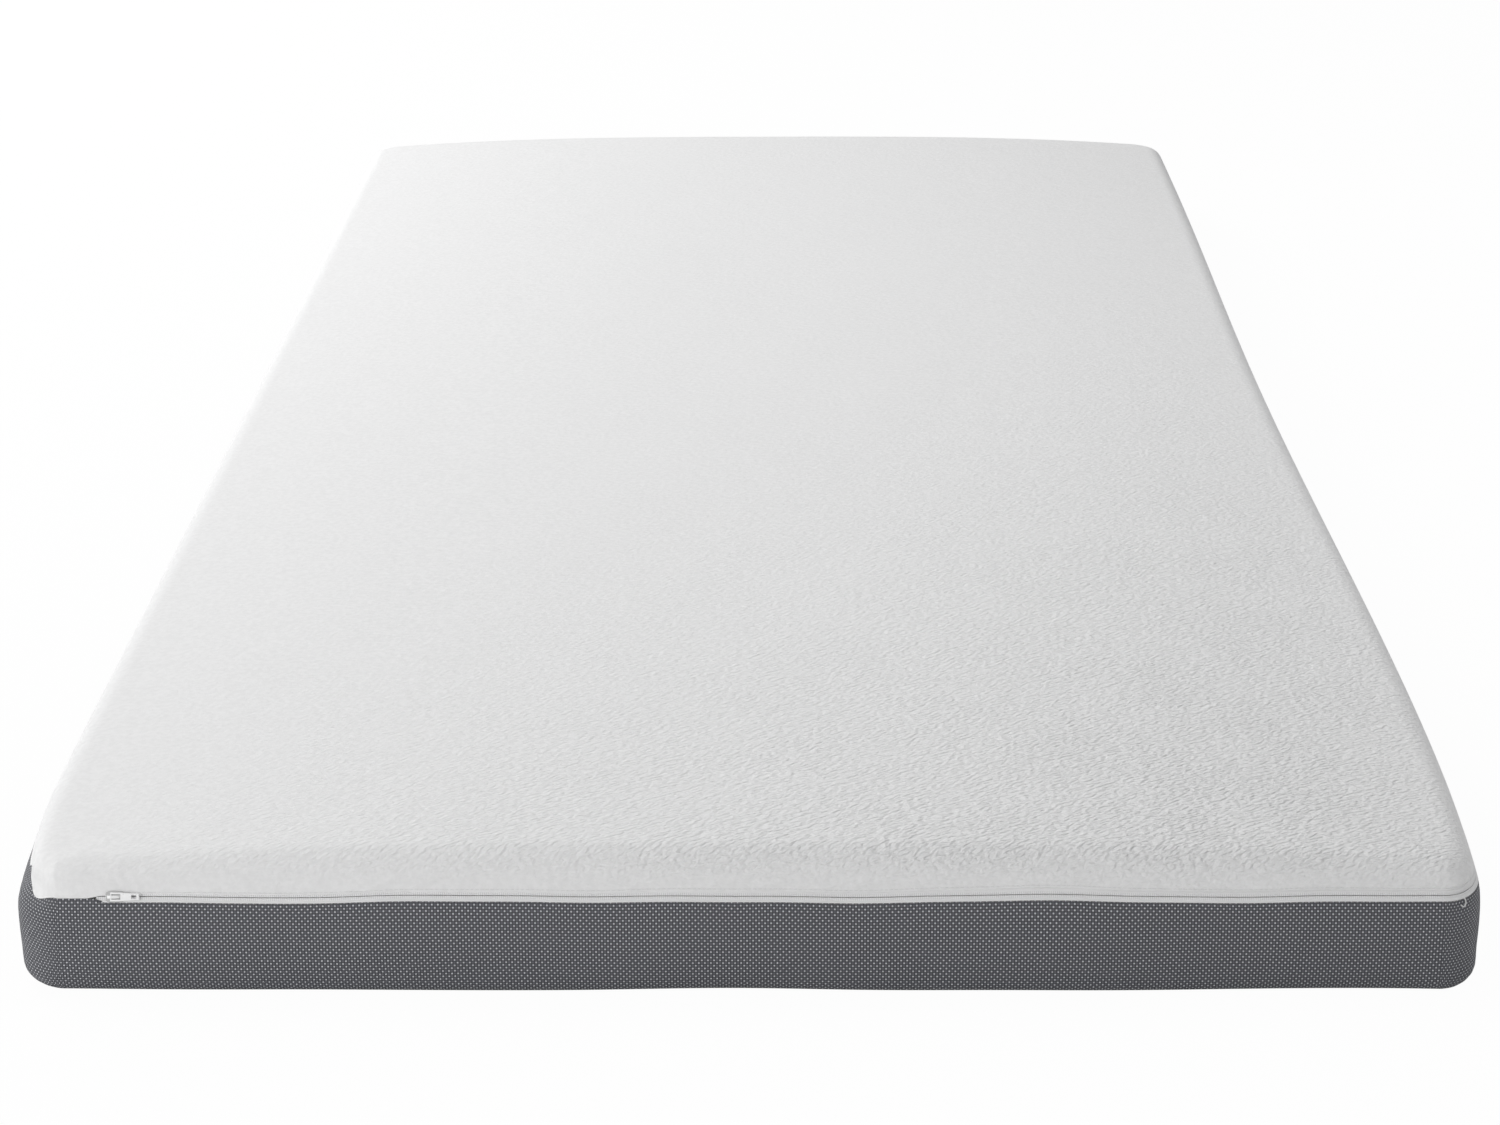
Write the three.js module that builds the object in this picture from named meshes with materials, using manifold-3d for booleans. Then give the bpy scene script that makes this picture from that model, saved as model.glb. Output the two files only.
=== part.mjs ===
// Pressure relief mattress: a foam core and a viscoelastic comfort layer in a stockinette sleeve,
// inside a two-part removable cover. The cover is a stretch-knit top panel and a spacer-mesh border
// sewn to a plain bottom panel, joined by a coil zip that runs round all but one corner.
//
// Millimetres. X runs across the width, Y along the length, Z up. The origin is at the middle of the
// underside. The foot end, with the zip slider, faces -Y.
import * as THREE from 'three';
import { mergeVertices } from 'three/addons/utils/BufferGeometryUtils.js';
import Module from 'manifold-3d';

const wasm = await Module();
wasm.setup();

// ---------------------------------------------------------------- driving dimensions
const width = 900; // at the widest line of the side
const length = 2000;
const cornerRadius = 38; // in plan, at the widest line
const innerRadius = 14; // smallest radius that a ring inside the outline keeps at its corners

const seamInset = 14; // the bottom seam, in from the widest line
const seamHeight = 0.3;
const footInset = 1.9; // top of the round at the bottom edge
const footHeight = 10;
const borderHeight = 61.6; // lower edge of the zip band
const bulgeHeight = 0.58 * borderHeight; // height of the widest line
const borderTopInset = 3;
const zipBand = 6.4; // opening that the zip fills, up the slope
const zipLean = THREE.MathUtils.degToRad(20); // how far the zip band leans back
const shoulderInset = 24; // where the top's rounded edge ends
const shoulderHeight = borderHeight + 19.7;
const crownRise = 11; // middle of the top above its side edges

const gap = 0.3; // between neighbouring soft pieces
const panelThickness = 3; // top panel
const borderThickness = 3;
const bottomThickness = 2;
const hemThickness = 0.9; // both fabrics where they are turned and sewn to the zip
const hemWidth = 7.5;
const hemRamp = 5; // from the hem's thickness to the full one
const sleeveDepth = 4.5; // sleeve's outside, in from the cover's outside, clear of the slider
const sleeveThickness = 0.8;
const sleeveMouth = { width: 700, height: 36 }; // open end of the sleeve, at the head
const coreTop = borderHeight - 4; // foam core's flat top, where the comfort layer starts

const tapeThickness = 0.45;
const tapeHidden = 6.5; // tape sewn behind the fabric's hem
const tapeGap = 0.25; // between a hem and the tape behind it
const coilWidth = 1.5;
const coilThickness = 1.1;
const coilGap = 0.2; // between a tape and its coil
const chainGap = 1.3; // between the two halves of the zip, for the slider's post
const zipStart = 23; // from the end of the front-left corner's arc
const zipEndMargin = 5; // the zip stops this far before that arc begins
const zipRamp = 6; // over which the two fabrics part to show the zip
const joinDrop = 0.5; // seam that closes the zip-free corner, below the band's middle
const barTack = { start: 1, length: 2.5, height: 0.65 * zipBand, thickness: 0.7 };
const thread = { width: 0.5, thickness: 0.35, fromEdge: 0.8 };
const overlock = { width: 2.2, thickness: 0.7 };
const joinTape = { width: 20, thickness: 0.5 };

const sliderStart = 34.5; // slider's middle, from the front-left arc, with the zip closed
const slider = {
  length: 10.4, noseHalf: 2.2, wideHalf: zipBand / 2 + 0.3, tailHalf: 2.9, plate: 0.9, play: 0.25,
};
const post = { from: -4.2, to: -1.6, thickness: 0.6 };
const flange = { inner: 2.5, outer: 3.3, from: -1.6, to: 2.4 };
const bridge = { halfWidth: 0.9, top: 2.45, nose: -4.4, tail: 3.4, lift: 0.2 };
const pull = { bar: -1.9, barWidth: 0.9, length: 17.3, headHalf: 2.7, tailHalf: 1.85, thickness: 1 };
const pullWindow = { length: 5.2, half: 1.6 };
const pullHole = { length: 3, half: 1.2, fromEnd: 1.6 };
const loop = { angle: 28, radius: 2.6, wire: 0.45, drop: 2.2, from: -150, to: 80 };

// ---------------------------------------------------------------- outline in plan
const coreX = width / 2 - cornerRadius; // the corner arcs turn about the corners of this rectangle
const coreY = length / 2 - cornerRadius;
const runX = 2 * coreX;
const runY = 2 * coreY;
const arc = (Math.PI / 2) * cornerRadius;
const perimeter = 2 * (runX + runY) + 4 * arc;

// The place u mm round the widest line, from the front-left corner towards +X: the nearest point of
// the corner rectangle, and the angle that the outline faces there.
function place(u) {
  const corners = [[-coreX, -coreY], [coreX, -coreY], [coreX, coreY], [-coreX, coreY]];
  let rest = u % perimeter;
  for (let side = 0; side < 4; side++) {
    const run = side % 2 ? runY : runX;
    const [from, to] = [corners[side], corners[(side + 1) % 4]];
    const facing = ((side - 1) * Math.PI) / 2;
    if (rest <= run) {
      const t = rest / run;
      return { u, x: from[0] + (to[0] - from[0]) * t, y: from[1] + (to[1] - from[1]) * t, facing };
    }
    rest -= run;
    if (rest <= arc || side === 3) {
      return { u, x: to[0], y: to[1], facing: facing + Math.min(rest, arc) / cornerRadius };
    }
    rest -= arc;
  }
}

// A point in plan, inset mm inside the widest line.
function planPoint(at, inset) {
  const beyond = Math.max(0, inset - (cornerRadius - innerRadius));
  const radius = cornerRadius - Math.min(inset, cornerRadius - innerRadius);
  return new THREE.Vector2(
    (at.x * (coreX - beyond)) / coreX + radius * Math.cos(at.facing),
    (at.y * (coreY - beyond)) / coreY + radius * Math.sin(at.facing),
  );
}

// Stations round the outline: closer on the corners and where the top's dome starts on the ends.
const cornerSteps = 6;
const domeStations = [18, 60, 130, 240]; // from the corner arcs, on the two ends
const zipEnd = perimeter - arc - zipEndMargin;
const stationsX = [...domeStations, coreX, ...domeStations.map((x) => runX - x).reverse()];
const stationsY = [runY / 3, (2 * runY) / 3];

function allStations() {
  const us = [zipStart, zipStart + zipRamp, zipEnd - zipRamp, zipEnd];
  let start = 0;
  for (const [run, onRun] of [[runX, stationsX], [runY, stationsY], [runX, stationsX], [runY, stationsY]]) {
    us.push(...onRun.map((x) => start + x));
    for (let i = 0; i <= cornerSteps; i++) us.push(start + run + (arc * i) / cornerSteps);
    start += run + arc;
  }
  return us.sort((a, b) => a - b);
}
const stations = allStations();
const ring = stations.map(place);

// The stations between two places, both ends included; the path may run on past the start.
function pathBetween(from, to) {
  const twice = [...stations, ...stations.map((u) => u + perimeter)];
  const between = twice.filter((u) => u > from + 0.01 && u < to - 0.01);
  const apart = between.filter((u, i) => i === 0 || u - between[i - 1] > 0.01);
  return [from, ...apart, to].map(place);
}

// ---------------------------------------------------------------- profile of the cover's side
// Tangent-continuous curves of (inset, height), from the bottom seam up to the edge of the top.
const v2 = (x, y) => new THREE.Vector2(x, y);
const bulgeLower = 20; // height of the lower side curve's control point
const bandTop = v2(borderTopInset + zipBand * Math.sin(zipLean), borderHeight + zipBand * Math.cos(zipLean));
const footSlope = footInset / (bulgeLower - footHeight);
const footControl = v2(footInset + footSlope * (footHeight - seamHeight), seamHeight);
const upperControl = v2(0, borderHeight - borderTopInset / Math.tan(zipLean));
const shoulderControl = v2(bandTop.x + (shoulderHeight - bandTop.y) * Math.tan(zipLean), shoulderHeight);
const foot = v2(footInset, footHeight);
const widest = v2(0, bulgeHeight);
const borderTop = v2(borderTopInset, borderHeight);
const skin = new THREE.CurvePath();
skin.add(new THREE.QuadraticBezierCurve(v2(seamInset, seamHeight), footControl, foot));
skin.add(new THREE.QuadraticBezierCurve(foot, v2(0, bulgeLower), widest));
skin.add(new THREE.QuadraticBezierCurve(widest, upperControl, borderTop));
skin.add(new THREE.LineCurve(borderTop, bandTop));
skin.add(new THREE.QuadraticBezierCurve(bandTop, shoulderControl, v2(shoulderInset, shoulderHeight)));

// Distances up the skin of the joints between its curves.
const skinLength = skin.getLength();
const [sFoot, sWidest, sBorder, sHem] = skin.getCurveLengths();
const sMiddle = (sBorder + sHem) / 2;
const sJoin = sMiddle - joinDrop;

// The profile point s mm up the skin and depth mm inside it, as inset and height.
function skinPoint(s, depth) {
  const t = THREE.MathUtils.clamp(s / skinLength, 0, 1);
  const point = skin.getPoint(t);
  const tangent = skin.getTangent(t);
  return v2(point.x + depth * tangent.y, point.y - depth * tangent.x);
}

// How far up the skin the curve depth mm inside it comes to a height.
function upTo(height, depth) {
  let [low, high] = [0, skinLength];
  for (let i = 0; i < 40; i++) {
    const middle = (low + high) / 2;
    if (skinPoint(middle, depth).y < height) low = middle;
    else high = middle;
  }
  return low;
}

// The top is highest along its middle: how much higher than its side edges it stands at x.
function dome(x) {
  const inside = Math.max(0, width / 2 - Math.abs(x) - shoulderInset);
  const t = inside / (width / 2 - shoulderInset);
  return crownRise * (1 - (1 - t) ** 3);
}

// ---------------------------------------------------------------- points on the cover
// Each maker gives a function from a place on the outline to a point.
const solidPoint = (plan, z) => new THREE.Vector3(plan.x, plan.y, z);

const level = (inset, height) => (at) => solidPoint(planPoint(at, inset), height);

// s may be a number or a function of the place, for an edge that rises and falls on its way round.
const onSkin = (s, depth) => (at) => {
  const up = typeof s === 'function' ? s(at) : s;
  const p = skinPoint(up, depth);
  const plan = planPoint(at, p.x);
  const outer = skinPoint(up, 0).y;
  const share = Math.max(0, (outer - bandTop.y) / (shoulderHeight - bandTop.y));
  return solidPoint(plan, p.y + share * dome(plan.x));
};

const onCrown = (inset, depth) => (at) => {
  const plan = planPoint(at, inset);
  return solidPoint(plan, shoulderHeight + dome(plan.x) - depth);
};

// How far the fabrics are closed over the zip: 0 along the zip, 1 round the corner that has none.
function closed(at) {
  const u = at.u % perimeter;
  const before = THREE.MathUtils.clamp((zipStart + zipRamp - u) / zipRamp, 0, 1);
  const after = THREE.MathUtils.clamp((u - zipEnd + zipRamp) / zipRamp, 0, 1);
  return Math.max(before, after);
}
const borderEdge = (at) => THREE.MathUtils.lerp(sBorder, sJoin - gap / 2, closed(at));
const hemEdge = (at) => THREE.MathUtils.lerp(sHem, sJoin + gap / 2, closed(at));

// ---------------------------------------------------------------- meshes
function geometryFrom(points, faces) {
  const volume = faces.reduce((sum, [a, b, c]) => {
    return sum + points[a].dot(new THREE.Vector3().crossVectors(points[b], points[c]));
  }, 0);
  const outward = volume > 0 ? faces : faces.map(([a, b, c]) => [a, c, b]);
  const geometry = new THREE.BufferGeometry().setFromPoints(points);
  geometry.setIndex(outward.flat());
  geometry.computeVertexNormals();
  return geometry;
}

// A solid carried round the outline. Each section is a list of point makers. A closed section is a
// strip's cross-section; an open one is a profile whose first and last rings are filled in.
function carry(path, section, { closedPath = true, closedSection = true } = {}) {
  const points = path.flatMap((at) => section.map((maker) => maker(at)));
  const [rows, columns] = [path.length, section.length];
  const index = (i, k) => (i % rows) * columns + (k % columns);
  const faces = [];
  for (let i = 0; i < (closedPath ? rows : rows - 1); i++) {
    for (let k = 0; k < (closedSection ? columns : columns - 1); k++) {
      faces.push([index(i, k), index(i + 1, k), index(i + 1, k + 1)]);
      faces.push([index(i, k), index(i + 1, k + 1), index(i, k + 1)]);
    }
  }
  if (!closedSection) {
    for (const k of [0, columns - 1]) {
      const middle = points.length;
      const rim = path.map((_, i) => points[index(i, k)]);
      points.push(rim.reduce((sum, p) => sum.add(p), new THREE.Vector3()).divideScalar(rows));
      path.forEach((_, i) => faces.push([index(i, k), index(i + 1, k), middle]));
    }
  }
  if (!closedPath) {
    for (const i of [0, rows - 1]) {
      const at = path[i];
      const flat = section.map((_, k) => {
        const p = points[index(i, k)];
        return v2(p.x * Math.cos(at.facing) + p.y * Math.sin(at.facing), p.z);
      });
      const triangles = THREE.ShapeUtils.triangulateShape(flat, []);
      for (const triangle of triangles) faces.push(triangle.map((k) => index(i, k)));
    }
  }
  return geometryFrom(points, orient(faces));
}

// Turns each face to agree with its neighbours, starting from the first.
function orient(faces) {
  const edges = new Map();
  const edgesOf = ([a, b, c]) => [[a, b], [b, c], [c, a]];
  const key = (a, b) => (a < b ? `${a},${b}` : `${b},${a}`);
  faces.forEach((face, f) => {
    for (const [a, b] of edgesOf(face)) edges.set(key(a, b), [...(edges.get(key(a, b)) ?? []), f]);
  });
  const done = new Set([0]);
  const queue = [0];
  const result = faces.slice();
  while (queue.length) {
    const f = queue.pop();
    for (const [a, b] of edgesOf(result[f])) {
      for (const g of edges.get(key(a, b))) {
        if (done.has(g)) continue;
        if (edgesOf(result[g]).some(([c, d]) => c === a && d === b)) {
          result[g] = [result[g][0], result[g][2], result[g][1]];
        }
        done.add(g);
        queue.push(g);
      }
    }
  }
  return result;
}

// A manifold-3d solid from an indexed geometry, and back.
function solidFrom(geometry) {
  const merged = mergeVertices(new THREE.BufferGeometry()
    .setAttribute('position', geometry.getAttribute('position'))
    .setIndex(geometry.index), 1e-4);
  return new wasm.Manifold(new wasm.Mesh({
    numProp: 3,
    vertProperties: new Float32Array(merged.getAttribute('position').array),
    triVerts: new Uint32Array(merged.index.array),
  }));
}

function geometryOf(solid) {
  const { vertProperties, triVerts } = solid.getMesh();
  const geometry = new THREE.BufferGeometry();
  geometry.setAttribute('position', new THREE.BufferAttribute(new Float32Array(vertProperties), 3));
  geometry.setIndex(new THREE.BufferAttribute(new Uint32Array(triVerts), 1));
  geometry.computeVertexNormals();
  return geometry;
}

// ---------------------------------------------------------------- materials
const finish = (color, roughness, metalness = 0) => (
  new THREE.MeshStandardMaterial({ color, roughness, metalness })
);
const materials = {
  whiteKnit: finish(0xdededf, 0.9),
  greyMesh: finish(0x5a5b60, 0.85),
  greyCloth: finish(0x4c4d51, 0.9),
  stockinette: finish(0xeceae2, 0.95),
  coreFoam: finish(0xdfe3ea, 1),
  memoryFoam: finish(0xf0e8cf, 1),
  zipTape: finish(0xe4e4e2, 0.8),
  nylon: finish(0xe9e9e6, 0.45),
  thread: finish(0xe6e6e4, 0.7),
  enamel: finish(0xdcdedd, 0.35, 0.1),
};

const mattress = new THREE.Group();

function add(parent, name, geometry, material) {
  const mesh = new THREE.Mesh(geometry, material);
  mesh.name = name;
  parent.add(mesh);
  return mesh;
}

// Evenly spaced numbers, both ends included.
const spread = (from, to, steps) => (
  Array.from({ length: steps + 1 }, (_, i) => THREE.MathUtils.lerp(from, to, i / steps))
);

// ---------------------------------------------------------------- inside: foams and sleeve
const crownInsets = [70, 150, 260, 400];
// The layers share these steps round the shoulder, so their flats stay parallel.
const hemEnd = sHem + hemWidth;
const shoulderSteps = [hemEnd, ...spread(hemEnd + hemRamp, skinLength, 2)];
const sleeveFloor = bottomThickness + gap;
const foamFloor = sleeveFloor + sleeveThickness + gap;
const foamDepth = sleeveDepth + sleeveThickness + gap;
const crownDepthSleeve = panelThickness + gap;
const crownDepthFoam = crownDepthSleeve + sleeveThickness + gap;
const sCoreTop = upTo(coreTop, foamDepth);

// The side of a piece inside the cover, from a flat floor up, depth mm inside the skin.
function innerSide(floor, depth, crownDepth) {
  const lower = [level(seamInset + 26, floor), level(seamInset + 6 + depth - sleeveDepth, floor)];
  const side = [sFoot * 0.55, sFoot, sWidest, sCoreTop, sBorder].map((s) => onSkin(s, depth));
  const shoulder = shoulderSteps.map((s, i, all) => (
    onSkin(s, THREE.MathUtils.lerp(depth, crownDepth, (i + 1) / all.length))
  ));
  return { lower, side, shoulder, crown: crownInsets.map((inset) => onCrown(inset, crownDepth)) };
}

function foamCore() {
  const { lower, side } = innerSide(foamFloor, foamDepth, crownDepthFoam);
  const top = level(skinPoint(sCoreTop, foamDepth).x + 60, coreTop);
  return carry(ring, [...lower, ...side.slice(0, -1), top], { closedSection: false });
}

function comfortLayer() {
  const { side, shoulder, crown } = innerSide(foamFloor, foamDepth, crownDepthFoam);
  const floor = coreTop + gap;
  const edge = skinPoint(upTo(floor, foamDepth), foamDepth).x;
  const bottom = [level(edge + 60, floor), level(edge, floor)];
  const section = [...bottom, side[side.length - 1], ...shoulder, ...crown];
  return carry(ring, section, { closedSection: false });
}

function innerSleeve() {
  const shell = (floor, depth, crownDepth) => {
    const { lower, side, shoulder, crown } = innerSide(floor, depth, crownDepth);
    const section = [...lower, ...side, ...shoulder, ...crown];
    return solidFrom(carry(ring, section, { closedSection: false }));
  };
  const outside = shell(sleeveFloor, sleeveDepth, crownDepthSleeve);
  const inside = shell(
    sleeveFloor + sleeveThickness,
    sleeveDepth + sleeveThickness,
    crownDepthSleeve + sleeveThickness,
  );
  const mouth = new THREE.BoxGeometry(sleeveMouth.width, 3 * cornerRadius, sleeveMouth.height);
  mouth.translate(0, length / 2, bulgeHeight);
  return geometryOf(outside.subtract(inside).subtract(solidFrom(mouth)));
}

add(mattress, 'foam_core', foamCore(), materials.coreFoam);
add(mattress, 'comfort_layer', comfortLayer(), materials.memoryFoam);
add(mattress, 'inner_sleeve', innerSleeve(), materials.stockinette);

// ---------------------------------------------------------------- cover
// A fabric's thickness at a distance from its sewn edge.
function clothDepth(fromEdge, full) {
  const share = THREE.MathUtils.clamp((fromEdge - hemWidth) / hemRamp, 0, 1);
  return THREE.MathUtils.lerp(hemThickness, full, share);
}

function topPanel() {
  const steps = [sHem + hemWidth / 2, ...shoulderSteps];
  const outer = steps.map((s) => onSkin(s, 0));
  const inner = steps.map((s) => onSkin(s, clothDepth(s - sHem, panelThickness)));
  const section = [
    ...crownInsets.map((inset) => onCrown(inset, 0)).reverse(),
    ...outer.reverse(),
    onSkin(hemEdge, 0),
    onSkin(hemEdge, hemThickness),
    ...inner,
    ...crownInsets.map((inset) => onCrown(inset, panelThickness)),
  ];
  return carry(ring, section, { closedSection: false });
}

function borderBand() {
  const lower = [...spread(0, sFoot, 3), ...spread(sFoot, sWidest, 2).slice(1)];
  const upper = spread(sWidest, sBorder, 4).slice(1, -1);
  const outer = [...lower, ...upper].map((s) => onSkin(s, 0));
  const hemSteps = [hemWidth + hemRamp, hemWidth, hemWidth / 2].map((w) => sBorder - w);
  const inner = [0, sFoot / 2, sFoot, sWidest, ...hemSteps].map((s) => {
    const depth = s === 0 ? bottomThickness - seamHeight : clothDepth(sBorder - s, borderThickness);
    return onSkin(s, depth);
  });
  const edge = [onSkin(borderEdge, 0), onSkin(borderEdge, hemThickness)];
  return carry(ring, [...outer, ...edge, ...inner.reverse()]);
}

function bottomPanel() {
  const edge = seamInset + gap;
  const section = [
    level(edge + 60, 0), level(edge, 0), level(edge, bottomThickness), level(edge + 60, bottomThickness),
  ];
  return carry(ring, section, { closedSection: false });
}

add(mattress, 'top_panel', topPanel(), materials.whiteKnit);
add(mattress, 'border_band', borderBand(), materials.greyMesh);
add(mattress, 'bottom_panel', bottomPanel(), materials.greyCloth);

// ---------------------------------------------------------------- zip
// A strip through the given distances up the skin, between two depths.
function strip(steps, outside, inside, path) {
  const section = [
    ...steps.map((s) => onSkin(s, outside)),
    ...steps.map((s) => onSkin(s, inside)).reverse(),
  ];
  return carry(path, section, { closedPath: false });
}

const zipPath = pathBetween(zipStart, zipEnd);
const tapeOut = hemThickness + tapeGap;
const tapeIn = tapeOut + tapeThickness;
const coilOut = tapeIn + coilGap;
const coilIn = coilOut + coilThickness;
const tackPlaces = { start: zipStart + barTack.start, end: zipEnd - barTack.start - barTack.length };
const coilPath = pathBetween(
  tackPlaces.start + barTack.length + coilGap,
  tackPlaces.end - coilGap,
);

for (const [name, side, edge] of [['upper', 1, sHem], ['lower', -1, sBorder]]) {
  const inner = sMiddle + (side * chainGap) / 2;
  const outer = edge + side * tapeHidden;
  const coilOuter = inner + side * coilWidth;
  const seam = [edge + side * thread.fromEdge, edge + side * (thread.fromEdge + thread.width)];
  const tape = strip([inner, edge, edge + (side * hemWidth) / 2, outer], tapeOut, tapeIn, zipPath);
  const stitches = strip(seam, -gap - thread.thickness, -gap, zipPath);
  const coil = strip([inner, coilOuter], coilOut, coilIn, coilPath);
  add(mattress, `zip_tape_${name}`, tape, materials.zipTape);
  add(mattress, `zip_coil_${name}`, coil, materials.nylon);
  add(mattress, `${name === 'upper' ? 'top_panel' : 'border'}_stitching`, stitches, materials.thread);
}

for (const [end, start] of Object.entries(tackPlaces)) {
  const half = barTack.height / 2;
  const path = pathBetween(start, start + barTack.length);
  const tack = strip([sMiddle - half, sMiddle + half], coilOut, coilOut + barTack.thickness, path);
  add(mattress, `zip_${end}_bartack`, tack, materials.thread);
}

// ---------------------------------------------------------------- seams
// Behind the seam that joins the two fabrics round the corner without a zip.
const cornerPath = pathBetween(zipEnd + 1, perimeter + zipStart - 1);
const half = overlock.width / 2;
add(mattress, 'corner_closing_seam', strip(
  [sJoin - half, sJoin + half], tapeOut, tapeOut + overlock.thickness, cornerPath,
), materials.thread);

// Overlock thread on the inside of the seam between border and bottom panel.
function bottomSeam() {
  const [low, high] = [bottomThickness + gap, bottomThickness + gap + overlock.thickness];
  const [outer, inner] = [seamInset, seamInset + overlock.width];
  return carry(ring, [level(outer, low), level(inner, low), level(inner, high), level(outer, high)]);
}
add(mattress, 'bottom_seam_overlock', bottomSeam(), materials.thread);

// Tape over the seam where the two ends of the border strip meet, inside the cover at the head end.
const joinMiddle = runX + arc + runY + arc + runX * 0.25;
const joinPath = [joinMiddle - joinTape.width / 2, joinMiddle + joinTape.width / 2].map(place);
const joinSteps = [sFoot, sWidest, sBorder - hemWidth - hemRamp];
const joinFaces = [borderThickness + gap, borderThickness + gap + joinTape.thickness];
add(mattress, 'border_join_tape', carry(joinPath, [
  ...joinSteps.map((s) => onSkin(s, joinFaces[0])),
  ...joinSteps.map((s) => onSkin(s, joinFaces[1])).reverse(),
], { closedPath: false }), materials.greyCloth);

// Loop of thread left standing below the zip on the front-right corner, outside the row of stitches.
function cornerLoop() {
  const at = place(runX + (arc * loop.angle) / 90);
  const centre = onSkin(sBorder - loop.drop, -2 * gap - thread.thickness - loop.wire)(at);
  const along = new THREE.Vector3(-Math.sin(at.facing), Math.cos(at.facing), 0);
  const up = onSkin(sBorder, 0)(at).sub(onSkin(sBorder - 1, 0)(at)).normalize();
  const points = spread(loop.from, loop.to, 10).map((angle) => {
    const a = THREE.MathUtils.degToRad(angle);
    return centre.clone()
      .addScaledVector(along, loop.radius * Math.cos(a))
      .addScaledVector(up, loop.radius * Math.sin(a));
  });
  const wire = new THREE.Shape().absarc(0, 0, loop.wire, 0, 2 * Math.PI);
  return new THREE.ExtrudeGeometry(wire, {
    curveSegments: 6, steps: 14, bevelEnabled: false, extrudePath: new THREE.CatmullRomCurve3(points),
  });
}
add(mattress, 'corner_thread_loop', cornerLoop(), materials.thread);

// ---------------------------------------------------------------- slider
// In the slider's own frame X runs along the zip, Y up the band and Z straight out of it, with the
// origin on the cover's outside at the middle of the band.
const sliderGroup = new THREE.Group();
const bandMiddle = skinPoint(sMiddle, 0);
sliderGroup.position.set(-coreX + sliderStart, -length / 2 + bandMiddle.x, bandMiddle.y);
sliderGroup.rotation.x = Math.PI / 2 - zipLean;
mattress.add(sliderGroup);

// A flat plate from low to high in Z, with its edges broken by a small bevel.
function plate(shape, low, high, bevel) {
  const geometry = new THREE.ExtrudeGeometry(shape, {
    depth: high - low - 2 * bevel, bevelThickness: bevel, bevelSize: bevel, bevelOffset: -bevel,
    bevelSegments: 2, curveSegments: 5,
  });
  return mergeVertices(geometry.deleteAttribute('normal').deleteAttribute('uv'), 1e-4)
    .translate(0, 0, low + bevel);
}

// Shield outline of the slider's plates: widest near the nose, where the two tapes part.
function shield(shrink) {
  const half = slider.length / 2 - shrink;
  const [nose, wide, tail] = [slider.noseHalf, slider.wideHalf, slider.tailHalf].map((w) => w - shrink);
  const wideAt = -slider.length * 0.12;
  const outline = new THREE.Shape().moveTo(-half, -nose);
  outline.quadraticCurveTo(-half * 0.8, -wide, wideAt, -wide);
  outline.quadraticCurveTo(half * 0.35, -wide, half, -tail);
  outline.lineTo(half, tail);
  outline.quadraticCurveTo(half * 0.35, wide, wideAt, wide);
  outline.quadraticCurveTo(-half * 0.8, wide, -half, nose);
  return outline;
}

const plateLow = slider.play;
const plateHigh = plateLow + slider.plate;
const keelHigh = -coilIn - slider.play;
const keelLow = keelHigh - slider.plate + 0.1;

function sliderBody() {
  const block = (x0, x1, y0, y1, z0, z1) => {
    const box = new THREE.BoxGeometry(x1 - x0, y1 - y0, z1 - z0);
    return solidFrom(box.translate((x0 + x1) / 2, (y0 + y1) / 2, (z0 + z1) / 2));
  };
  const halfPost = post.thickness / 2;
  const flangeTop = -tapeIn - slider.play;
  let body = solidFrom(plate(shield(0), plateLow, plateHigh, 0.2));
  body = body.add(solidFrom(plate(shield(0.5), keelLow, keelHigh, 0.15)));
  body = body.add(block(post.from, post.to, -halfPost, halfPost, keelLow + 0.3, plateHigh - 0.3));
  for (const [y0, y1] of [[flange.inner, flange.outer], [-flange.outer, -flange.inner]]) {
    body = body.add(block(flange.from, flange.to, y0, y1, keelLow + 0.3, flangeTop));
  }
  return geometryOf(body);
}

// Arch on the top plate that the pull's cross bar turns under.
const archLow = plateHigh + bridge.lift;
const archTop = plateHigh + bridge.top;
const barHeight = archLow + 0.1 + pull.thickness / 2; // axis of the pull, above the band
const barRoom = Math.hypot(pull.barWidth, pull.thickness) / 2 + 0.2;

function sliderBridge() {
  const arch = new THREE.Shape().moveTo(bridge.nose, archLow);
  arch.quadraticCurveTo(bridge.nose, archTop, pull.bar - 0.3, archTop);
  arch.quadraticCurveTo(bridge.tail * 0.5, archTop - 0.1, bridge.tail, archLow + 0.5);
  arch.lineTo(bridge.tail, archLow);
  arch.lineTo(pull.bar + barRoom, archLow);
  arch.lineTo(pull.bar + barRoom, barHeight);
  arch.absarc(pull.bar, barHeight, barRoom, 0, Math.PI, false);
  arch.lineTo(pull.bar - barRoom, archLow);
  const solid = plate(arch, -bridge.halfWidth, bridge.halfWidth, 0.15);
  return solid.rotateX(Math.PI / 2);
}

add(sliderGroup, 'slider_body', sliderBody(), materials.enamel);
add(sliderGroup, 'slider_bridge', sliderBridge(), materials.enamel);

// ---------------------------------------------------------------- pull tab
// Its frame has the origin on the axis that it swings about, at the middle of its cross bar.
const pullGroup = new THREE.Group();
pullGroup.position.set(pull.bar, 0, barHeight);
sliderGroup.add(pullGroup);

function rectangleHole(x0, x1, halfHeight) {
  return new THREE.Path().moveTo(x0, -halfHeight).lineTo(x0, halfHeight)
    .lineTo(x1, halfHeight).lineTo(x1, -halfHeight).lineTo(x0, -halfHeight);
}

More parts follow.
